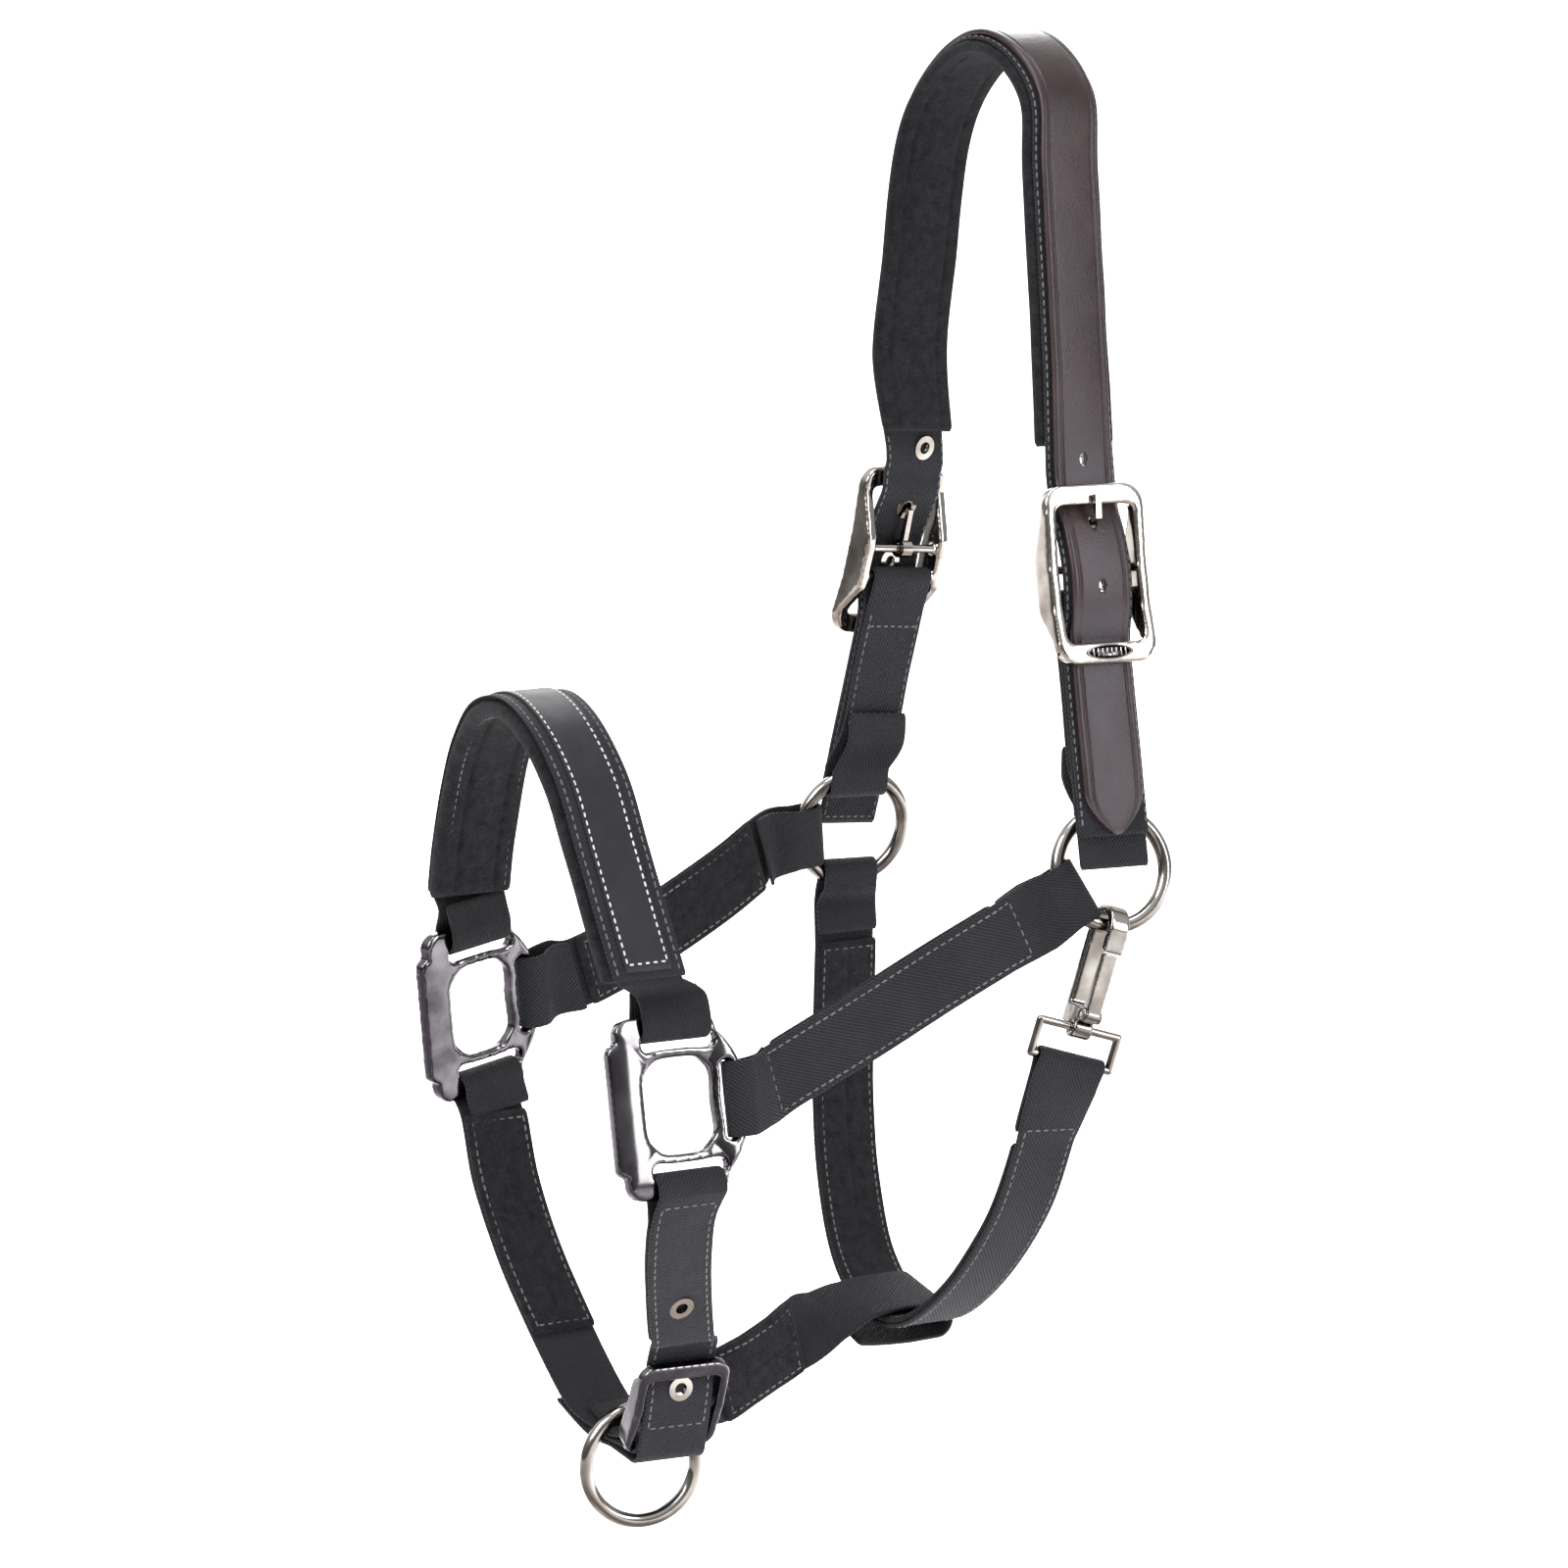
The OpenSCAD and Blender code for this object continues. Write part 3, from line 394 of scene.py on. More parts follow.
THROAT_MIDS = stations(
    ((-19, 78, -352), X1, 1),
    ((-22, 75, -378), X1, 1),
    ((-26, 70, -408), X1, 1),
    ((-31, 59, -443), X1, 1),
    ((-37, 40, -471), X1, 1),
    ((-41, 14, -486.5), X1, 1),
    ((-40, -10, -486.5), X1, 1),
    ((-37, -36, -467), X1, 1),
    ((-32, -56, -438), X1, 1),
    ((-29, -67, -409), X1, 1),
)
EYE_BAR_Z = -13
EYE_FOLD_R = EYE_WIRE / 2 + RUN_GAP + WEB_T / 2


def throat_route():
    r, a, narrow = FAR_RING, 270, 0.8
    across, x = -r.across(a), EYE.dir(1, 0, 0)
    reach = fold_reach(STRAP_W * narrow / 2)
    return (
        smooth([
            (THROAT_MIDS[0][0] + Vector((0, -FOLD_BACK - 0.9, 4)), X1, 1),
            (r.ring_point(a, RING_R + 10, -1.6), across, 0.9),
            (r.ring_point(a, RING_R + 3, -RING_FOLD_R), across, narrow)], 3)
        + wrap(r.ring_point(a, reach, 0), r.around(a), r.dir(0, 1, 0), across, RING_FOLD_R, 90, narrow)
        + smooth([
            (r.ring_point(a, RING_R + 3, RING_FOLD_R), across, narrow),
            (r.ring_point(a, RING_R + 10, 1.6), across, 0.9),
            *THROAT_MIDS,
            (EYE.at(0, 0.9, EYE_BAR_Z - 10), x, 1),
            (EYE.at(0, EYE_FOLD_R, EYE_BAR_Z - 1), x, 1)], 3)
        + wrap(EYE.at(0, 0, EYE_BAR_Z), EYE.dir(0, 0, -1), EYE.dir(0, -1, 0), x, EYE_FOLD_R, 90, 1)
        + smooth([
            (EYE.at(0, -EYE_FOLD_R, EYE_BAR_Z - 1), x, 1),
            (EYE.at(0, -0.9 - FOLD_BACK / 2, EYE_BAR_Z - 10), x, 1),
            (THROAT_MIDS[-1][0] + Vector((2, 1.4 + FOLD_BACK, 5)), X1, 1)], 3)
    )


LOOP_ACROSS = unit(0, 1, 0.3)
CONNECTOR_MIDS = stations(
    ((-130, 6, -504), unit(-0.15, 0.2, 1), 1),
    ((-116, 7, -499.5), unit(-0.2, 0, 1), 1),
    ((-102, 9, -494.5), unit(-0.2, 0, 1), 1),
    ((-90, 11, -490), unit(-0.1, 0.25, 1), 1),
)


def connector_route():
    return (
        smooth(stations(
            ((-186, 4, UNDER_Z + 4.9), unit(0, 1, 0.45), 0.45),
            ((-168, 4, UNDER_Z + 5.1), unit(0, 1, 0.45), 0.45),
            ((-155, 5, UNDER_Z + 6.2), unit(0, 1, 0.6), 0.6),
            ((-143, 5, UNDER_Z + 7), unit(0, 0.6, 1), 0.85))
            + CONNECTOR_MIDS
            + stations(
                ((-75, 12, -485), unit(0, 1, 0.6), 1),
                ((-60, 12, -480), LOOP_ACROSS, 1),
                ((-44, 12, -479), LOOP_ACROSS, 1)), 3)
        + wrap(Vector((-30, 12, -485.6)), -X1, -Z1, LOOP_ACROSS, 6.4, 85, 1)
        + smooth(stations(
            ((-44, 12, -492.2), LOOP_ACROSS, 1),
            ((-58, 12, -491.4), LOOP_ACROSS, 1),
            ((-68, 12, -489.2), unit(0, 1, 0.4), 1)), 3)
    )


class Route:
    """A strap's path. s runs along it, v across it, and h off its outer face, in millimetres."""

    def __init__(self, raw, outward):
        kept = [raw[0]]
        for station in raw[1:]:
            if (station[0] - kept[-1][0]).length > 0.05:
                kept.append(station)
        self.points = [k[0] for k in kept]
        self.across = [k[1] for k in kept]
        self.factor = [k[2] for k in kept]
        self.s = [0.0]
        for a, b in zip(self.points, self.points[1:]):
            self.s.append(self.s[-1] + (b - a).length)
        last = len(kept) - 1
        self.normal = []
        for i in range(last + 1):
            tangent = self.points[min(i + 1, last)] - self.points[max(i - 1, 0)]
            self.normal.append(tangent.cross(self.across[i]).normalized() * outward)
        self.length = self.s[-1]

    def near(self, point):
        """The s of the station nearest to a point."""
        gaps = [(p - point).length for p in self.points]
        return self.s[gaps.index(min(gaps))]

    def at(self, s, v, h):
        s = min(max(s, 0.0), self.length)
        i = min(max(bisect_right(self.s, s) - 1, 0), len(self.s) - 2)
        t = (s - self.s[i]) / (self.s[i + 1] - self.s[i])
        point = self.points[i].lerp(self.points[i + 1], t)
        across = self.across[i].lerp(self.across[i + 1], t)
        normal = self.normal[i].lerp(self.normal[i + 1], t).normalized()
        factor = self.factor[i] * (1 - t) + self.factor[i + 1] * t
        return point + across * (v * factor) + normal * h


CROWN = Route(
    smooth(buckle_stations(NEAR_BUCKLE, 0.5) + CROWN_ARCH
           + buckle_stations(FAR_BUCKLE, -4)[::-1], 4), -1)
NEAR_CHAPE = Route(chape_route(NEAR_BUCKLE, NEAR_RING), 1)
FAR_CHAPE = Route(chape_route(FAR_BUCKLE, FAR_RING), -1)
NEAR_CHEEK = Route(cheek_route(NEAR_SQUARE, NEAR_RING, 208, NEAR_CHEEK_MIDS), 1)
FAR_CHEEK = Route(cheek_route(FAR_SQUARE, FAR_RING, 188, FAR_CHEEK_MIDS), -1)
NOSEBAND = Route(
    nose_end(NEAR_SQUARE, NOSE_ARCH[0]) + smooth(NOSE_ARCH, 4)[1:-1]
    + nose_end(FAR_SQUARE, NOSE_ARCH[-1])[::-1], -1)
NEAR_CHIN = Route(near_chin_route(), 1)
FAR_CHIN = Route(far_chin_route(), -1)
THROAT = Route(throat_route(), -1)
CONNECTOR = Route(connector_route(), -1)


# ---- Materials ----
class Nodes:
    """A material's node tree, with short calls for the nodes that the materials share."""

    def __init__(self, name):
        self.material = bpy.data.materials.new(name)
        self.material.use_nodes = True
        self.tree = self.material.node_tree
        self.shader = self.tree.nodes["Principled BSDF"]
        coordinates = self.tree.nodes.new("ShaderNodeTexCoord")
        self.uv = coordinates.outputs["UV"]
        self.object = coordinates.outputs["Object"]

    def link(self, value, socket):
        if hasattr(value, "links"):
            self.tree.links.new(value, socket)
        else:
            socket.default_value = value

    def math(self, operation, *values):
        node = self.tree.nodes.new("ShaderNodeMath")
        node.operation = operation
        for value, socket in zip(values, node.inputs):
            self.link(value, socket)
        return node.outputs[0]

    def split(self, vector):
        node = self.tree.nodes.new("ShaderNodeSeparateXYZ")
        self.link(vector, node.inputs[0])
        return node.outputs[0], node.outputs[1], node.outputs[2]

    def scaled(self, vector, scale):
        node = self.tree.nodes.new("ShaderNodeMapping")
        node.inputs["Scale"].default_value = scale
        self.link(vector, node.inputs["Vector"])
        return node.outputs[0]

    def noise(self, vector, scale, detail=3.0, roughness=0.5):
        node = self.tree.nodes.new("ShaderNodeTexNoise")
        node.inputs["Scale"].default_value = scale
        node.inputs["Detail"].default_value = detail
        node.inputs["Roughness"].default_value = roughness
        self.link(vector, node.inputs["Vector"])
        return node.outputs["Fac"]

    def cells(self, vector, scale):
        node = self.tree.nodes.new("ShaderNodeTexVoronoi")
        node.inputs["Scale"].default_value = scale
        self.link(vector, node.inputs["Vector"])
        return node.outputs["Distance"]

    def ramp(self, value, *stops):
        node = self.tree.nodes.new("ShaderNodeValToRGB")
        elements = node.color_ramp.elements
        while len(elements) < len(stops):
            elements.new(0.5)
        for element, (place, colour) in zip(elements, stops):
            element.position = place
            element.color = (*colour, 1)
        self.link(value, node.inputs[0])
        return node.outputs["Color"]

    def level(self, value, low, high, to_low, to_high):
        node = self.tree.nodes.new("ShaderNodeMapRange")
        for socket, number in zip(node.inputs, (value, low, high, to_low, to_high)):
            self.link(number, socket)
        return node.outputs[0]

    def bump(self, height, strength, distance, below=None):
        node = self.tree.nodes.new("ShaderNodeBump")
        node.inputs["Strength"].default_value = strength
        node.inputs["Distance"].default_value = distance
        self.link(height, node.inputs["Height"])
        if below is not None:
            self.link(below, node.inputs["Normal"])
        return node.outputs[0]

    def set(self, **sockets):
        for name, value in sockets.items():
            self.link(value, self.shader.inputs[name.replace("_", " ")])
        return self.material


def webbing_material(name, pitch, slant, dark, light):
    """Woven webbing: slanted ribs cut into short floats, with painted shade in the valleys of the weave."""
    n = Nodes(name)
    s, v, _ = n.split(n.scaled(n.uv, (1000, 1000, 1)))
    turn = 2 * math.pi / pitch
    ribs = n.math("SINE", n.math("MULTIPLY_ADD", v, turn, n.math("MULTIPLY", s, turn * slant)))
    picks = n.math("SINE", n.math("MULTIPLY_ADD", s, turn * 1.9, n.math("MULTIPLY", v, -turn * 0.5)))
    weave = n.math("MULTIPLY_ADD", picks, 0.45, ribs)
    fuzz = n.noise(n.object, 2600, 2.0)
    height = n.math("MULTIPLY_ADD", fuzz, 0.9, weave)
    patches = n.noise(n.object, 60, 4.0)
    # Painted shade: the colour darkens where the weave's height is low, in the valleys between ribs and
    # floats; the patches noise adds random tone
    shade = n.math("MULTIPLY_ADD", patches, 0.5, n.level(height, -1.2, 1.9, 0.0, 0.7))
    bump = n.bump(height, 0.85, 0.00022)
    return n.set(
        Base_Color=n.ramp(shade, (0.1, dark), (0.95, light)),
        Roughness=n.level(weave, -1.4, 1.4, 0.9, 0.62),
        Sheen_Weight=0.04, Sheen_Roughness=0.45, Specular_IOR_Level=0.22, Normal=bump)


def fleece_material():
    """Short-pile fleece: fine tufts with a soft sheen."""
    n = Nodes("fleece")
    tufts = n.noise(n.object, 1500, 4.0, 0.65)
    clumps = n.noise(n.object, 260, 3.0)
    height = n.math("MULTIPLY_ADD", clumps, 0.8, tufts)
    shade = n.level(height, 0.6, 1.2, 0.0, 1.0)
    return n.set(
        Base_Color=n.ramp(shade, (0.0, (0.0030, 0.0030, 0.0036)), (1.0, (0.0220, 0.0220, 0.0250))),
        Roughness=0.95, Sheen_Weight=0.05, Sheen_Roughness=0.5, Specular_IOR_Level=0.1,
        Normal=n.bump(height, 1.0, 0.0008))


def strip_material():
    """Close-woven smooth ribbon."""
    n = Nodes("smooth_strip")
    s, v, _ = n.split(n.scaled(n.uv, (1000, 1000, 1)))
    ribs = n.math("MULTIPLY", n.math("SINE", n.math("MULTIPLY", s, 9.0)),
                  n.math("SINE", n.math("MULTIPLY", v, 9.0)))
    height = n.math("MULTIPLY_ADD", n.noise(n.object, 900, 3.0), 1.2, ribs)
    shade = n.noise(n.object, 90, 4.0)
    return n.set(
        Base_Color=n.ramp(shade, (0.2, (0.0055, 0.0055, 0.0075)), (0.8, (0.0110, 0.0110, 0.0140))),
        Roughness=n.level(shade, 0.2, 0.8, 0.62, 0.5),
        Sheen_Weight=0.03, Specular_IOR_Level=0.3, Normal=n.bump(height, 0.35, 0.0001))


def thread_material(name, dark, light):
    """Twisted sewing thread."""
    n = Nodes(name)
    fibres = n.noise(n.object, 2400, 3.0)
    dirt = n.noise(n.object, 120, 3.0)
    return n.set(
        Base_Color=n.ramp(n.math("MULTIPLY_ADD", fibres, 0.5, n.math("MULTIPLY", dirt, 0.5)),
                          (0.3, dark), (0.7, light)),
        Roughness=0.7, Sheen_Weight=0.2, Normal=n.bump(fibres, 0.6, 0.0002))


def leather_material():
    """Waxed brown leather: pebbled grain, fine wrinkles, paler worn patches and a soft gloss."""
    n = Nodes("crown_leather")
    pebbles = n.cells(n.object, 950)
    wrinkles = n.noise(n.scaled(n.object, (1, 1, 3)), 240, 5.0, 0.6)
    tone = n.noise(n.object, 26, 4.0)
    wear = n.noise(n.object, 110, 5.0)
    height = n.math("MULTIPLY_ADD", wrinkles, 0.9, pebbles)
    shade = n.math("MULTIPLY_ADD", wear, 0.35, n.math("MULTIPLY", tone, 0.65))
    return n.set(
        Base_Color=n.ramp(shade, (0.3, (0.0150, 0.0062, 0.0046)), (0.52, (0.0240, 0.0110, 0.0085)),
                          (0.75, (0.0370, 0.0190, 0.0150))),
        Roughness=n.level(wear, 0.3, 0.7, 0.31, 0.43),
        Specular_IOR_Level=0.42, Specular_Tint=(0.78, 0.82, 1, 1), Coat_Weight=0.3, Coat_Roughness=0.3,
        Normal=n.bump(height, 0.22, 0.0004))


def metal_material(name, deep, dark, light, smooth_at, rough_at):
    """Polished cast metal, with casting ripples, hairline scratches and handled patches. The
    tone bands are painted reflections: dark and light bands painted into the colour by the surface's
    direction in the world, which the shader doesn't reflect."""
    n = Nodes(name)
    geometry = n.tree.nodes.new("ShaderNodeNewGeometry")
    x, y, z = n.split(geometry.outputs["Normal"])
    ripples = n.noise(n.object, 90, 2.0)
    scratches = n.noise(n.scaled(n.object, (1, 1, 14)), 700, 3.0, 0.6)
    handled = n.noise(n.object, 55, 4.0)
    # Painted reflection: the colour runs through dark and light bands by the surface's direction in the
    # world, warped by the handled noise; the light bands are painted highlights
    turn = n.math("MULTIPLY_ADD", z, 3.4, n.math("MULTIPLY_ADD", x, 2.1, n.math("MULTIPLY", y, 1.3)))
    painted_reflection_bands = n.math("SINE", n.math("MULTIPLY_ADD", handled, 3.0, turn))
    return n.set(
        Base_Color=n.ramp(n.level(painted_reflection_bands, -1.0, 1.0, 0.0, 1.0), (0.0, deep), (0.35, dark), (1.0, light)),
        Metallic=1.0,
        Roughness=n.level(handled, 0.3, 0.75, smooth_at, rough_at),
        Normal=n.bump(scratches, 0.02, 0.0001, n.bump(ripples, 0.10, 0.0009)))


WEBBING = webbing_material("webbing", 1.5, 0.8, (0.0016, 0.0016, 0.0022), (0.0215, 0.0215, 0.0265))
EDGING = webbing_material("ribbed_webbing", 1.1, 0.12, (0.0016, 0.0016, 0.0021), (0.0160, 0.0160, 0.0195))
FLEECE = fleece_material()
STRIP = strip_material()
GREY_THREAD = thread_material("grey_thread", (0.060, 0.060, 0.066), (0.140, 0.140, 0.150))
WHITE_THREAD = thread_material("white_thread", (0.42, 0.42, 0.43), (0.74, 0.74, 0.74))
LEATHER = leather_material()
# Each metal's three colours are the deep, dark and light tones of its painted reflection bands
NICKEL = metal_material(
    "nickel", (0.13, 0.105, 0.09), (0.42, 0.385, 0.35), (0.70, 0.67, 0.63), 0.08, 0.17)
DARK_NICKEL = metal_material(
    "dark_nickel", (0.05, 0.040, 0.034), (0.20, 0.178, 0.160), (0.52, 0.49, 0.46), 0.08, 0.17)
GUNMETAL = metal_material(
    "gunmetal", (0.020, 0.017, 0.021), (0.072, 0.065, 0.072), (0.27, 0.26, 0.27), 0.08, 0.16)


# ---- Meshes ----
def new_object(name, points, faces, material, uvs=None):
    mesh = bpy.data.meshes.new(name)
    mesh.from_pydata([tuple(p * MM) for p in points], [], faces)
    if uvs:
        layer = mesh.uv_layers.new(name="UVMap")
        for loop in mesh.loops:
            layer.data[loop.index].uv = uvs[loop.vertex_index]
    mesh.polygons.foreach_set("use_smooth", [True] * len(mesh.polygons))
    mesh.materials.append(material)
    obj = bpy.data.objects.new(name, mesh)
    bpy.context.scene.collection.objects.link(obj)
    return obj


def band_profile(width, low, high, rows=15, shape=None):
    """Points round a strap's section as (v, h), with round edges. shape(x, top) raises or
    lowers the faces, where x runs from -1 to 1 across and top is True on the outer face."""
    r = (high - low) / 2
    flat = width / 2 - r * 0.8
    middle = (high + low) / 2
    lift = shape or (lambda x, top: 0.0)
    section = []
    for k in range(rows):
        v = -flat + 2 * flat * k / (rows - 1)
        section.append((v, high + lift(v / (width / 2), True)))
    for k in range(1, 6):
        a = math.pi / 2 - math.pi * k / 6
        section.append((flat + r * 0.8 * math.cos(a), middle + r * math.sin(a)))
    for k in range(rows):
        v = flat - 2 * flat * k / (rows - 1)
        section.append((v, low + lift(v / (width / 2), False)))
    for k in range(1, 6):
        a = -math.pi / 2 - math.pi * k / 6
        section.append((-flat + r * 0.8 * math.cos(a), middle + r * math.sin(a)))
    return section


LOFT_STEP = 1.5


def loft(name, route, section, material, first=0.0, last=None, ripple=0.12, point=None):
    """A closed band along a route. The ends are rounded over; point(s) narrows a tip."""
    last = route.length if last is None else last
    count = max(int((last - first) / LOFT_STEP), 4)
    middle = sum(h for _, h in section) / len(section)
    thick = max(h for _, h in section) - min(h for _, h in section)
    points, uvs = [], []
    for i in range(count + 1):
        s = first + (last - first) * i / count
        from_end = min(s - first, last - s) / (thick * 0.6)
        squeeze = 1.0 if from_end >= 1 else math.sqrt(max(1 - (1 - from_end) ** 2, 0.04))
        narrow = 1 - (1 - squeeze) * 0.04
        if point:
            narrow *= point(s)
        walked = 0.0
        for k, (v, h) in enumerate(section):
            place = route.at(s, v * narrow, middle + (h - middle) * squeeze)
            place += route_wobble(place, ripple)
            if k:
                walked += math.hypot(v - section[k - 1][0], h - section[k - 1][1])
            points.append(place)
            uvs.append((s * MM, walked * MM))
    ring = len(section)
    faces = []
    for i in range(count):
        for k in range(ring):
            a, b = i * ring + k, i * ring + (k + 1) % ring
            faces.append((a, b, b + ring, a + ring))
    faces.append(tuple(range(ring))[::-1])
    faces.append(tuple(count * ring + k for k in range(ring)))
    obj = new_object(name, points, faces, material, uvs)
    turn_outwards(obj)
    return obj


def route_wobble(place, size):
    """A small steady unevenness, so that no strap is machine straight."""
    return noise.noise_vector(place / 23) * size


def turn_outwards(obj):
    """Turns the faces of a closed mesh outwards."""
    mesh = obj.data
    mesh.calc_loop_triangles()
    volume = 0.0
    for t in mesh.loop_triangles:
        a, b, c = (mesh.vertices[i].co for i in t.vertices)
        volume += a.dot(b.cross(c))
    if volume < 0:
        mesh.flip_normals()


# A stitch is five rings of four points: left, top, right and under
STITCH_RINGS = [(0.0, 0.35, -0.1), (0.18, 1.0, 0.24), (0.5, 1.0, 0.32), (0.82, 1.0, 0.24), (1.0, 0.35, -0.1)]


class Stitches:
    """Collects dashed rows and makes them one piece."""

    def __init__(self):
        self.points = []
        self.faces = []

    def stitch(self, where, along, side, up, length, width):
        base = len(self.points)
        for t, wide, high in STITCH_RINGS:
            centre = where + along * (length * (t - 0.5))
            half = side * (width / 2 * wide)
            self.points += [centre - half, centre + up * high, centre + half, centre - up * 0.25]
        for i in range(4):
            for k in range(4):
                a, b = base + 4 * i + k, base + 4 * i + (k + 1) % 4
                self.faces.append((a, b, b + 4, a + 4))
        self.faces.append((base + 3, base + 2, base + 1, base))
        self.faces.append((base + 16, base + 17, base + 18, base + 19))

    def row(self, route, start, end, h, pitch=3.4, length=2.5, width=0.75):
        """A dashed row from start to end, each (s, v), on the face at height h."""
        run = math.hypot(end[0] - start[0], end[1] - start[1])
        count = max(int(run / pitch), 1)
        sign = 1 if h > 0 else -1
        for i in range(count):
            t = (i + 0.5) / count
            s, v = start[0] + (end[0] - start[0]) * t, start[1] + (end[1] - start[1]) * t
            ahead = (i + 0.5) / count + 0.5 / run
            there = route.at(start[0] + (end[0] - start[0]) * ahead,
                             start[1] + (end[1] - start[1]) * ahead, h)
            here = route.at(s, v, h)
            along = (there - here).normalized()
            up = (route.at(s, v, h + 1) - here).normalized() * sign
            skew = noise.noise(here / 3) * 0.08
            side = along.cross(up)
            along = (along + side * skew).normalized()
            self.stitch(here, along, along.cross(up), up, length, width)

    def box(self, route, s0, s1, v, h, **sizes):
        for a, b in [((s0, -v), (s1, -v)), ((s1, -v), (s1, v)), ((s1, v), (s0, v)), ((s0, v), (s0, -v))]:
            self.row(route, a, b, h, **sizes)

    def make(self, name, material):
        obj = new_object(name, self.points, self.faces, material)
        turn_outwards(obj)
        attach(obj, "headcollar")


def strap(name, route, width, node, material=WEBBING, **options):
    """A webbing strap that stands for its CAD solid."""
    section = band_profile(width, -WEB_T / 2, WEB_T / 2)
    obj = loft(name, route, section, material, **options)
    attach(obj, "headcollar")
    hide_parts(node)
    return obj


def pad_shape(seams, depth, swell):
    """Lobes between lengthwise seams on the inner face of a pad."""
    def lift(x, top):
        if top:
            return 0.0
        groove = sum(math.exp(-((x - seam) / 0.05) ** 2) for seam in seams)
        return -swell * (1 - x * x) + depth * groove
    return lift


def padding(name, route, width, low, high, node, first, last, seams, swell, depth):
    section = band_profile(width, low, high, rows=33, shape=pad_shape(seams, depth, swell))
    obj = loft(name, route, section, FLEECE, first, last, ripple=0.3)
    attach(obj, "headcollar")
    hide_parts(node)
    return obj


def cut(obj, cutters):
    """Cuts a closed tool away from a piece, and keeps the result."""
    modifier = obj.modifiers.new("holes", "BOOLEAN")
    modifier.operation = "DIFFERENCE"
    modifier.solver = "EXACT"
    modifier.object = cutters
    keep_result(obj)
    bpy.data.objects.remove(cutters)


def keep_result(obj):
    """Replaces a mesh by what its modifiers make of it."""
    evaluated = obj.evaluated_get(bpy.context.evaluated_depsgraph_get())
    made = bpy.data.meshes.new_from_object(evaluated)
    old = obj.data
    obj.modifiers.clear()
    obj.data = made
    bpy.data.meshes.remove(old)


def rods(name, spans, r, sides=24, tall=None, stretch=1.0):
    """Closed round rods between pairs of points, as one mesh; tall is their longer direction."""
    points, faces = [], []
    for a, b in spans:
        along = (b - a).normalized()
        side = along.cross(tall).normalized() if tall else along.orthogonal().normalized()
        up = along.cross(side) * stretch
        base = len(points)
        for end in (a, b):
            for k in range(sides):
                angle = 2 * math.pi * k / sides
                points.append(end + (side * math.cos(angle) + up * math.sin(angle)) * r)
        for k in range(sides):
            n = (k + 1) % sides
            faces.append((base + k, base + n, base + sides + n, base + sides + k))
        faces.append(tuple(base + k for k in range(sides))[::-1])
        faces.append(tuple(base + sides + k for k in range(sides)))
    return new_object(name, points, faces, NICKEL)


# ---- Crown ----
HOLES = [(41, 0, 0), (16.2, 2.95, 12), (-7, 5.7, -6)]


def hole_rods(name, r, low, high, stretch=1.0):
    """Rods along the six strap holes, from low to high off the webbing's inner face."""
    spans = []
    for buckle in (NEAR_BUCKLE, FAR_BUCKLE):
        for z, y, slope in HOLES:
            a = math.radians(slope)
            out = Vector((0, math.cos(a), math.sin(a)))
            spans.append(tuple(buckle.at(*(Vector((0, y, z)) + out * d)) for d in (low, high)))
    return rods(name, spans, r, tall=Z1, stretch=stretch)


def leather_shape(x, top):
    """A crowned leather face with a creased line near each edge."""
    if not top:
        return 0.0
    crease = math.exp(-((abs(x) - 0.76) / 0.035) ** 2)
    return 0.35 * (1 - x * x) - 0.32 * crease


def crown():
    tip = 17.0

    def pointed(s):
        from_end = min(s, CROWN.length - s) / tip
        return 1.0 if from_end >= 1 else 0.08 + 0.92 * math.sin(from_end * math.pi / 2) ** 0.9

    leather = loft(
        "crown_leather_strap", CROWN,
        band_profile(LEATHER_W, CROWN_OUT, CROWN_OUT + LEATHER_T, rows=61, shape=leather_shape),
        LEATHER, ripple=0.15, point=pointed)
    cut(leather, hole_rods("leather_holes", 1.75, 0.5, 8, 1.45))
    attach(leather, "headcollar")
    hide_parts("crown_leather")

    webbing = loft("crown_webbing_strap", CROWN, band_profile(CROWN_W, 0, WEB_T), WEBBING)
    cut(webbing, hole_rods("webbing_holes", 2.9, -2, 3))
    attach(webbing, "headcollar")
    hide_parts("crown_webbing")

    first = CROWN.near(NEAR_BUCKLE.at(0, 0, 48))
    last = CROWN.near(FAR_BUCKLE.at(-4, 0, 48))
    padding("crown_fleece", CROWN, CROWN_PAD_W, -LAYER_GAP - CROWN_PAD_T, -LAYER_GAP, "crown_pad",
            first, last, (-0.62, 0.62), 0.5, 0.6)
    stitches = Stitches()
    start, end, inner_face = 4, CROWN.length - 4, -0.02
    for v in (-CROWN_ROW, CROWN_ROW):
        stitches.row(CROWN, (start, v), (end, v), WEB_T)
        stitches.row(CROWN, (start, v), (first - 2, v), inner_face)
        stitches.row(CROWN, (last + 2, v), (end, v), inner_face)
    stitches.make("crown_stitching", GREY_THREAD)


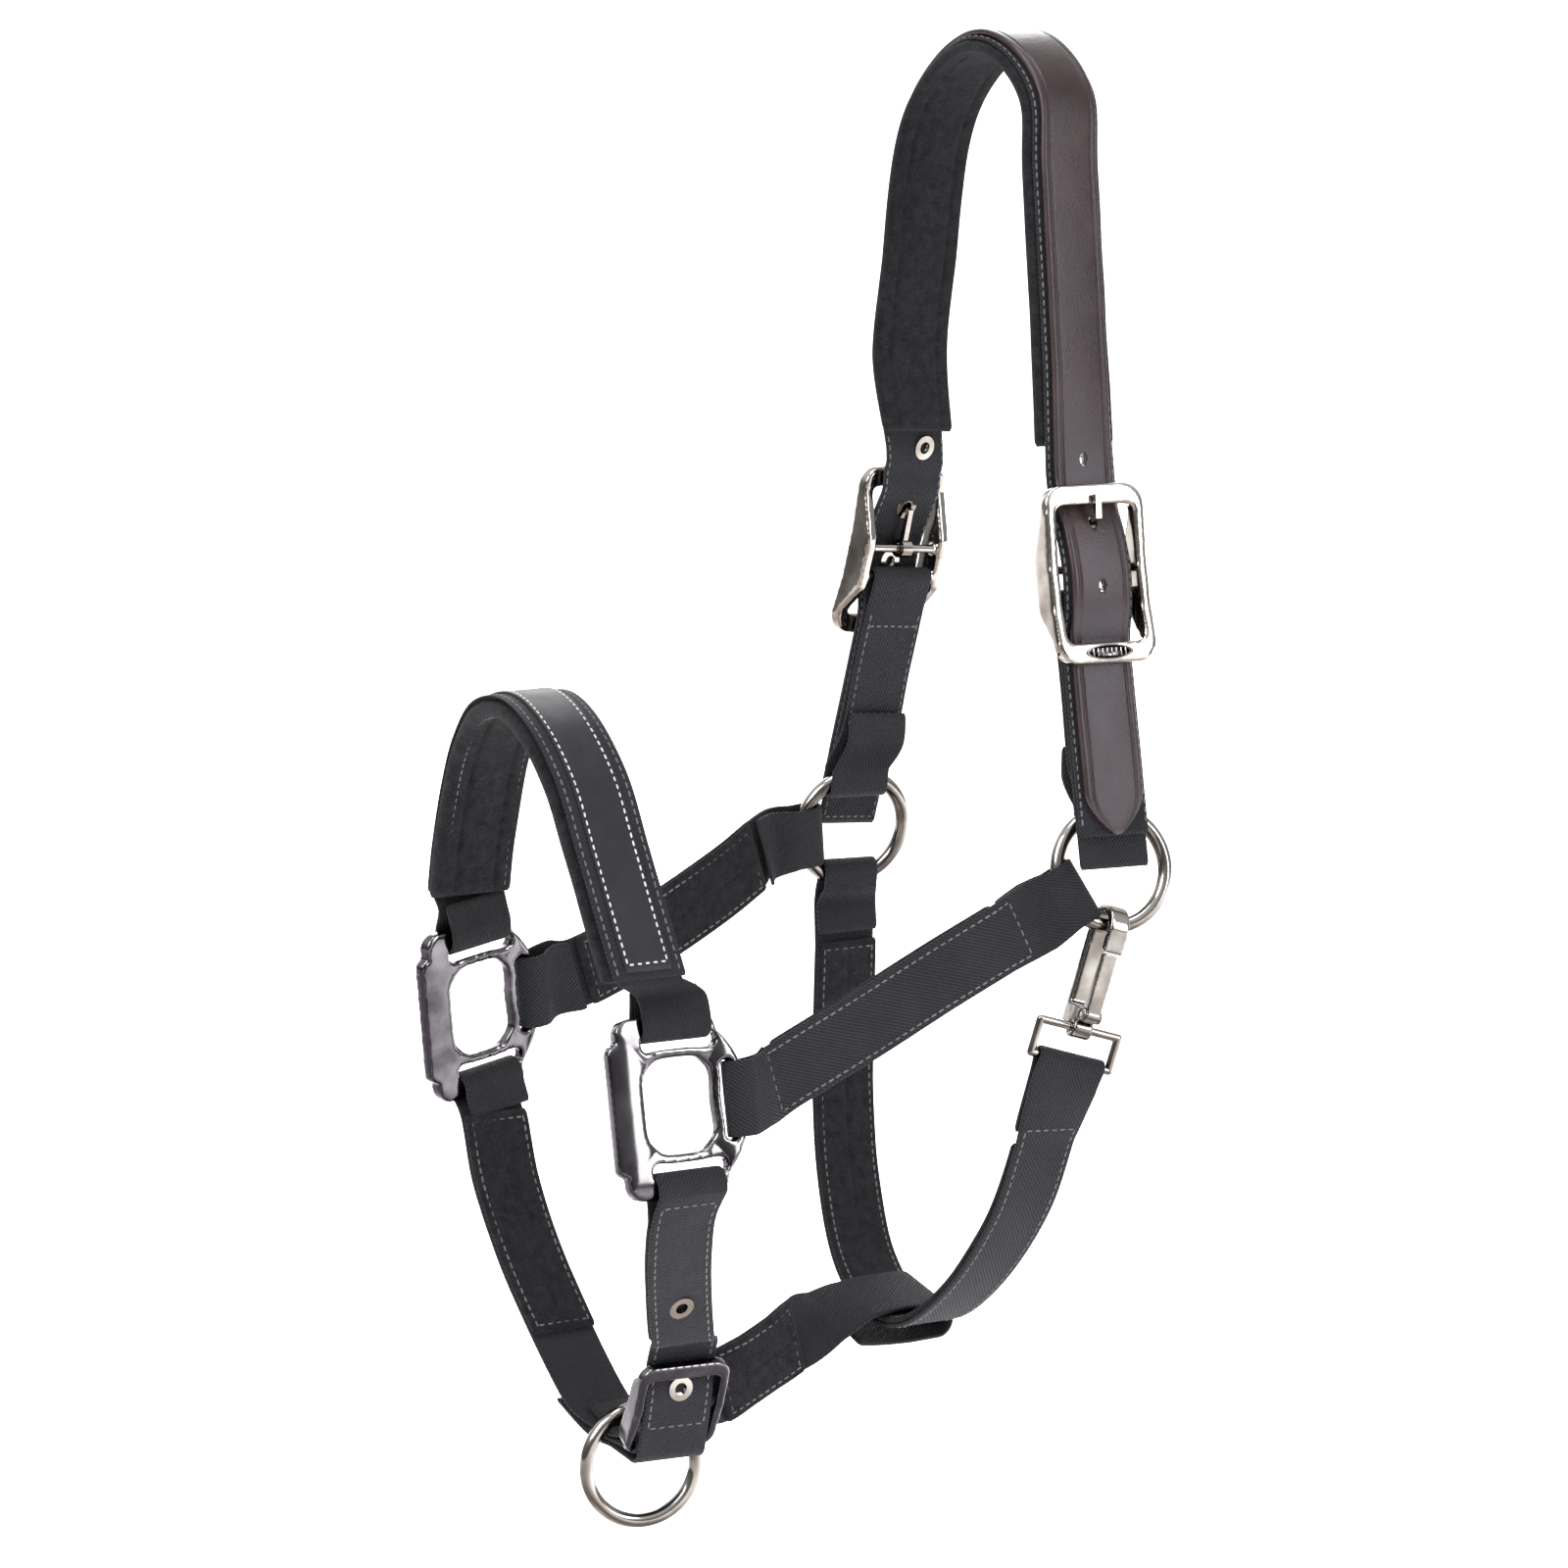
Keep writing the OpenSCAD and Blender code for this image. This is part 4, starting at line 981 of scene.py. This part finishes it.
def chapes():
    stitches = Stitches()
    for side, route, b in (("near", NEAR_CHAPE, NEAR_BUCKLE), ("far", FAR_CHAPE, FAR_BUCKLE)):
        strap(side + "_chape_strap", route, CROWN_W, side + "_chape")
        face, back = WEB_T / 2, -WEB_T / 2
        bottom = route.near(b.at(0, CHAPE_OUTER, -113))
        tab = route.near(b.at(0, CHAPE_OUTER, -94))
        stitches.row(route, (bottom + 3, -CHAPE_END_ROW), (bottom + 3, CHAPE_END_ROW), face)
        for v in (-CHAPE_END_ROW, CHAPE_END_ROW):
            stitches.row(route, (bottom + 3, v), (tab, v), face)
        for z in (-32, -66):
            s = route.near(b.at(0, CHAPE_INNER - 0.3, z))
            for h in (face, back):
                stitches.row(route, (s, -CHAPE_END_ROW), (s, CHAPE_END_ROW), h)
        s0 = route.near(b.at(0, CHAPE_INNER - 0.3, -26))
        s1 = route.near(b.at(0, CHAPE_INNER - 0.4, -72))
        for v in (-CHAPE_EDGE_ROW, CHAPE_EDGE_ROW):
            for h in (face, back):
                stitches.row(route, (s0, v), (s1, v), h)
    stitches.make("chape_stitching", GREY_THREAD)


# ---- Side straps with their linings and stitching ----
def lined_strap(name, route, mids, box_ends, fold_end=0.0):
    """A strap, its lining, edge stitching on both faces, and stitching across its ends."""
    strap(name + "_webbing", route, STRAP_W, name + "_strap", first=fold_end)
    first, last = route.near(mids[0][0]), route.near(mids[-1][0])
    low = -LINING_LO - LINING_T
    lining_face = low - 0.05
    padding(name + "_fleece", route, STRAP_W, low, -LINING_LO, name + "_lining",
            first, last, (0.0,), 0.25, 0.35)
    stitches = Stitches()
    before, after = first - box_ends[0], last + box_ends[1]
    for v in (-SIDE_ROW, SIDE_ROW):
        stitches.row(route, (before, v), (after, v), WEB_T / 2)
        stitches.row(route, (first + 2, v), (last - 2, v), lining_face)
    for s in (before, after):
        stitches.row(route, (s, -SIDE_ROW), (s, SIDE_ROW), WEB_T / 2)
    for s in (first + 3, last - 3):
        stitches.row(route, (s, -SIDE_ROW), (s, SIDE_ROW), lining_face)
    stitches.make(name + "_stitching", GREY_THREAD)


def noseband():
    strap("noseband_band", NOSEBAND, STRAP_W, "noseband_webbing", EDGING,
          first=NOSE_FOLD_SHORT, last=NOSEBAND.length - NOSE_FOLD_SHORT)
    first, last = NOSEBAND.near(NOSE_ARCH[0][0]), NOSEBAND.near(NOSE_ARCH[-1][0])
    padding("noseband_fleece", NOSEBAND, NOSE_PAD_W, -LINING_LO - NOSE_PAD_T, -LINING_LO,
            "noseband_pad", first, last, (-0.5, 0.5), 0.8, 1.1)
    top = LINING_LO + 1.2
    strip = loft("noseband_centre_strip", NOSEBAND, band_profile(NOSE_STRIP_W, LINING_LO, top),
                 STRIP, first + 4, last - 4)
    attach(strip, "headcollar")
    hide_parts("noseband_strip")
    facing = loft("noseband_facing", NOSEBAND, band_profile(STRAP_W + 3.5, 0.55, LINING_LO + 0.25),
                  WEBBING, first + 1, last - 1)
    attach(facing, "headcollar")
    white = Stitches()
    white.box(NOSEBAND, first + 7, last - 7, NOSE_STRIP_ROW, top, pitch=3.0, length=2.1, width=0.8)
    white.make("noseband_white_stitching", WHITE_THREAD)
    grey = Stitches()
    for v in (-NOSE_ROW, NOSE_ROW):
        grey.row(NOSEBAND, (first + 3, v), (last - 3, v), LINING_LO + 0.25)
        grey.row(NOSEBAND, (first + 3, v), (last - 3, v), -LINING_LO - NOSE_PAD_T - 0.1)
    grey.make("noseband_grey_stitching", GREY_THREAD)


def chin():
    lined_strap("near_chin", NEAR_CHIN, NEAR_CHIN_MIDS, (8, 44), NEAR_CHIN_FOLD_SHORT)
    lined_strap("far_chin", FAR_CHIN, FAR_CHIN_MIDS, (6, 8), FAR_CHIN_FOLD_SHORT)
    webbing = bpy.data.objects["near_chin_webbing"]
    holes = (Place(NEAR_CHIN_MIDS[2][0], -29, 0, 7, NEAR), Place(CHIN_BUCKLE.at(0, 0.4, 8), -9, 0, 8, NEAR))
    spans = [(f.at(0, -5, 0), f.at(0, 5, 0)) for f in holes]
    cut(webbing, rods("chin_holes", spans, 2.9))


# ---- Metal ----
def softened(name, node, voxel, rounds, material, body, reshape=None):
    """A rounded, cast-looking copy of a CAD solid, which it stands for."""
    obj = bpy.data.objects.new(name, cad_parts[node].data.copy())
    bpy.context.scene.collection.objects.link(obj)
    obj.data.materials.clear()
    obj.data.materials.append(material)
    remesh = obj.modifiers.new("even", "REMESH")
    remesh.mode = "VOXEL"
    remesh.voxel_size = voxel * MM
    soften = obj.modifiers.new("round", "SMOOTH")
    soften.factor = 0.5
    soften.iterations = rounds
    keep_result(obj)
    if reshape:
        for vertex in obj.data.vertices:
            vertex.co = reshape(vertex.co / MM) * MM
    obj.data.polygons.foreach_set("use_smooth", [True] * len(obj.data.polygons))
    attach(obj, body)
    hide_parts(node)
    return obj


def domed(f):
    """Crowns a square's bars, rounds its window's corners and waists its rear bar."""
    back = f.turn.inverted()

    def reshape(p):
        q = back @ (p - f.origin)
        rim = max(abs(q.x - 0.5) / 27, abs(q.z) / 33)
        from_middle = min(abs(rim - 0.76) / 0.26, 1.15)
        lift = 0.9 * (1 - from_middle**2) - 0.2
        corner = 1.3 * math.exp(-((abs(q.x) - 13) / 5) ** 2 - ((abs(q.z) - 16) / 5) ** 2)
        waist = 1.1 * math.exp(-((q.x - 16) / 3) ** 2 - (q.z / 8) ** 2)
        x = q.x - math.copysign(corner, q.x) - waist
        z = q.z - math.copysign(corner, q.z)
        return f.origin + f.turn @ Vector((x, q.y + (lift if q.y > 0 else -0.3 * lift), z))
    return reshape


def oval_plate():
    """The recessed oval plate on the near buckle's lower bar, with plain ribs."""
    f, y, z = NEAR_BUCKLE, 10.2, -32.4
    points, faces = [], []
    rings = [(1.0, 0.0), (0.96, 0.32), (0.88, 0.34), (0.82, -0.05), (0.0, -0.05)]
    sides = 48
    for wide, high in rings[:-1]:
        for k in range(sides):
            a = 2 * math.pi * k / sides
            points.append(f.at(10.5 * wide * math.cos(a), y + high, z + 2.9 * wide * math.sin(a)))
    for i in range(len(rings) - 2):
        for k in range(sides):
            a, b = i * sides + k, i * sides + (k + 1) % sides
            faces.append((a, b, b + sides, a + sides))
    faces.append(tuple((len(rings) - 2) * sides + k for k in range(sides)))
    faces.append(tuple(range(sides))[::-1])
    plate = new_object("buckle_oval_plate", points, faces, GUNMETAL)
    turn_outwards(plate)
    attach(plate, "headcollar")
    ribs = rods("buckle_plate_ribs",
                [(f.at(x, y + 0.05, z - 1.5), f.at(x, y + 0.05, z + 1.5)) for x in range(-7, 8, 2)],
                0.34, 12)
    ribs.data.materials[0] = NICKEL
    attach(ribs, "headcollar")


def hardware():
    for side, square in (("near", NEAR_SQUARE), ("far", FAR_SQUARE)):
        softened(side + "_square_cast", side + "_square", 0.55, 22, GUNMETAL, "headcollar",
                 domed(square))
    for side in ("near", "far"):
        softened(side + "_buckle_cast", side + "_buckle_frame", 0.5, 55, NICKEL, "headcollar")
    softened("chin_buckle_cast", "chin_buckle_frame", 0.45, 26, GUNMETAL, "headcollar")
    softened("hook_cast", "snap_body", 0.35, 24, DARK_NICKEL, "hook")
    softened("gate_cast", "snap_gate", 0.3, 12, DARK_NICKEL, "gate")
    oval_plate()
    for node in ("near_ring", "far_ring", "chin_ring", "snap_eye"):
        dress(node, DARK_NICKEL)
    for node in ("crown_eyelets", "chin_eyelets", "near_buckle_tongue", "far_buckle_tongue",
                 "snap_gate_pin", "snap_gate_spring"):
        dress(node, NICKEL)
    dress("chin_buckle_tongue", GUNMETAL)


def dress(node, material):
    """Gives a CAD node that stays in view its finish."""
    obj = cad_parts[node]
    for place in obj.material_slots:
        place.material = material


# ---- Stage ----
CAMERA_AZIMUTH = math.radians(35)
CAMERA_ELEVATION = math.radians(8)
CAMERA_DISTANCE = 2.5
CAMERA_AIM = Vector((-0.0913, 0.0161, -0.2764))
FRAME_WIDTH = 0.5968
SENSOR = 36
FLOOR_DROP = 0.12

# Name, azimuth, elevation, distance, size, power
SOFTBOXES = [
    ("key_softbox", -75, 35, 2.6, (1.4, 1.4), 44),
    ("fill_softbox", 25, 20, 2.8, (0.8, 2.0), 26),
    ("top_softbox", -35, 82, 2.4, (1.8, 1.2), 34),
    ("back_softbox", 150, 30, 2.8, (1.6, 1.6), 40),
]


def studio():
    bpy.context.scene.view_settings.view_transform = "Standard"
    centre = (cad_low + cad_high) / 2
    floor_z = cad_low.z - FLOOR_DROP
    paper = Nodes("paper")
    grain = paper.noise(paper.object, 40, 3.0)
    paper.set(Base_Color=paper.ramp(grain, (0.0, (0.86, 0.86, 0.87)), (1.0, (0.92, 0.92, 0.93))),
              Roughness=0.9, Emission_Color=(1, 1, 1, 1), Emission_Strength=1.0)
    half, depth, height, bend = 6.0, 5.0, 6.0, 1.5
    line = [(-7.0, 0.0)]
    for k in range(13):
        a = math.pi / 2 * k / 12
        line.append((depth - bend + bend * math.sin(a), bend - bend * math.cos(a)))
    line.append((depth, height))
    turn = Matrix.Rotation(-CAMERA_AZIMUTH, 3, "Z")
    points = []
    for away, up in line:
        for side in (-half, half):
            spot = turn @ Vector((side, away, 0))
            points.append(Vector((centre.x + spot.x, centre.y + spot.y, floor_z + up)) / MM)
    faces = [(2 * i, 2 * i + 1, 2 * i + 3, 2 * i + 2) for i in range(len(line) - 1)]
    backdrop = new_object("backdrop", points, faces, paper.material)

    world = bpy.data.worlds.new("studio")
    world.use_nodes = True
    bpy.context.scene.world = world
    tree = world.node_tree
    ramp = tree.nodes.new("ShaderNodeValToRGB")
    split = tree.nodes.new("ShaderNodeSeparateXYZ")
    coordinates = tree.nodes.new("ShaderNodeTexCoord")
    level = tree.nodes.new("ShaderNodeMapRange")
    level.inputs["From Min"].default_value = -1
    tree.links.new(coordinates.outputs["Generated"], split.inputs[0])
    tree.links.new(split.outputs["Z"], level.inputs["Value"])
    tree.links.new(level.outputs[0], ramp.inputs[0])
    stops = [(0.0, 0.40), (0.42, 0.50), (0.5, 0.30), (0.60, 0.30), (0.74, 0.65), (1.0, 0.80)]
    elements = ramp.color_ramp.elements
    while len(elements) < len(stops):
        elements.new(0.5)
    for element, (place, grey) in zip(elements, stops):
        element.position = place
        element.color = (grey, grey, grey * 1.01, 1)
    background = tree.nodes["Background"]
    background.inputs["Strength"].default_value = 0.9
    tree.links.new(ramp.outputs["Color"], background.inputs["Color"])

    def area(name, azimuth, elevation, distance, size, power):
        light = bpy.data.lights.new(name, "AREA")
        light.shape = "RECTANGLE"
        light.size, light.size_y = size
        light.energy = power
        obj = bpy.data.objects.new(name, light)
        a, e = math.radians(azimuth), math.radians(elevation)
        back = Vector((math.sin(a) * math.cos(e), -math.cos(a) * math.cos(e), math.sin(e)))
        obj.location = centre + back * distance
        obj.rotation_mode = "QUATERNION"
        obj.rotation_quaternion = (-back).to_track_quat("-Z", "Y")
        bpy.context.scene.collection.objects.link(obj)

    for softbox in SOFTBOXES:
        area(*softbox)


def camera():
    data = bpy.data.cameras.new("camera")
    data.sensor_width = SENSOR
    data.lens = SENSOR * CAMERA_DISTANCE / FRAME_WIDTH
    data.clip_end = 100
    obj = bpy.data.objects.new("camera", data)
    look = Vector((math.sin(CAMERA_AZIMUTH) * math.cos(CAMERA_ELEVATION),
                   math.cos(CAMERA_AZIMUTH) * math.cos(CAMERA_ELEVATION),
                   -math.sin(CAMERA_ELEVATION)))
    obj.location = CAMERA_AIM - look * CAMERA_DISTANCE
    obj.rotation_mode = "QUATERNION"
    obj.rotation_quaternion = look.to_track_quat("-Z", "Y")
    bpy.context.scene.collection.objects.link(obj)
    bpy.context.scene.camera = obj


# ---- The headcollar ----
crown()
chapes()
lined_strap("near_cheek", NEAR_CHEEK, NEAR_CHEEK_MIDS, (6, 8))
lined_strap("far_cheek", FAR_CHEEK, FAR_CHEEK_MIDS, (6, 8))
noseband()
chin()
lined_strap("throat", THROAT, THROAT_MIDS, (4, 6))
lined_strap("connector", CONNECTOR, CONNECTOR_MIDS, (6, 12))
hardware()
studio()
camera()
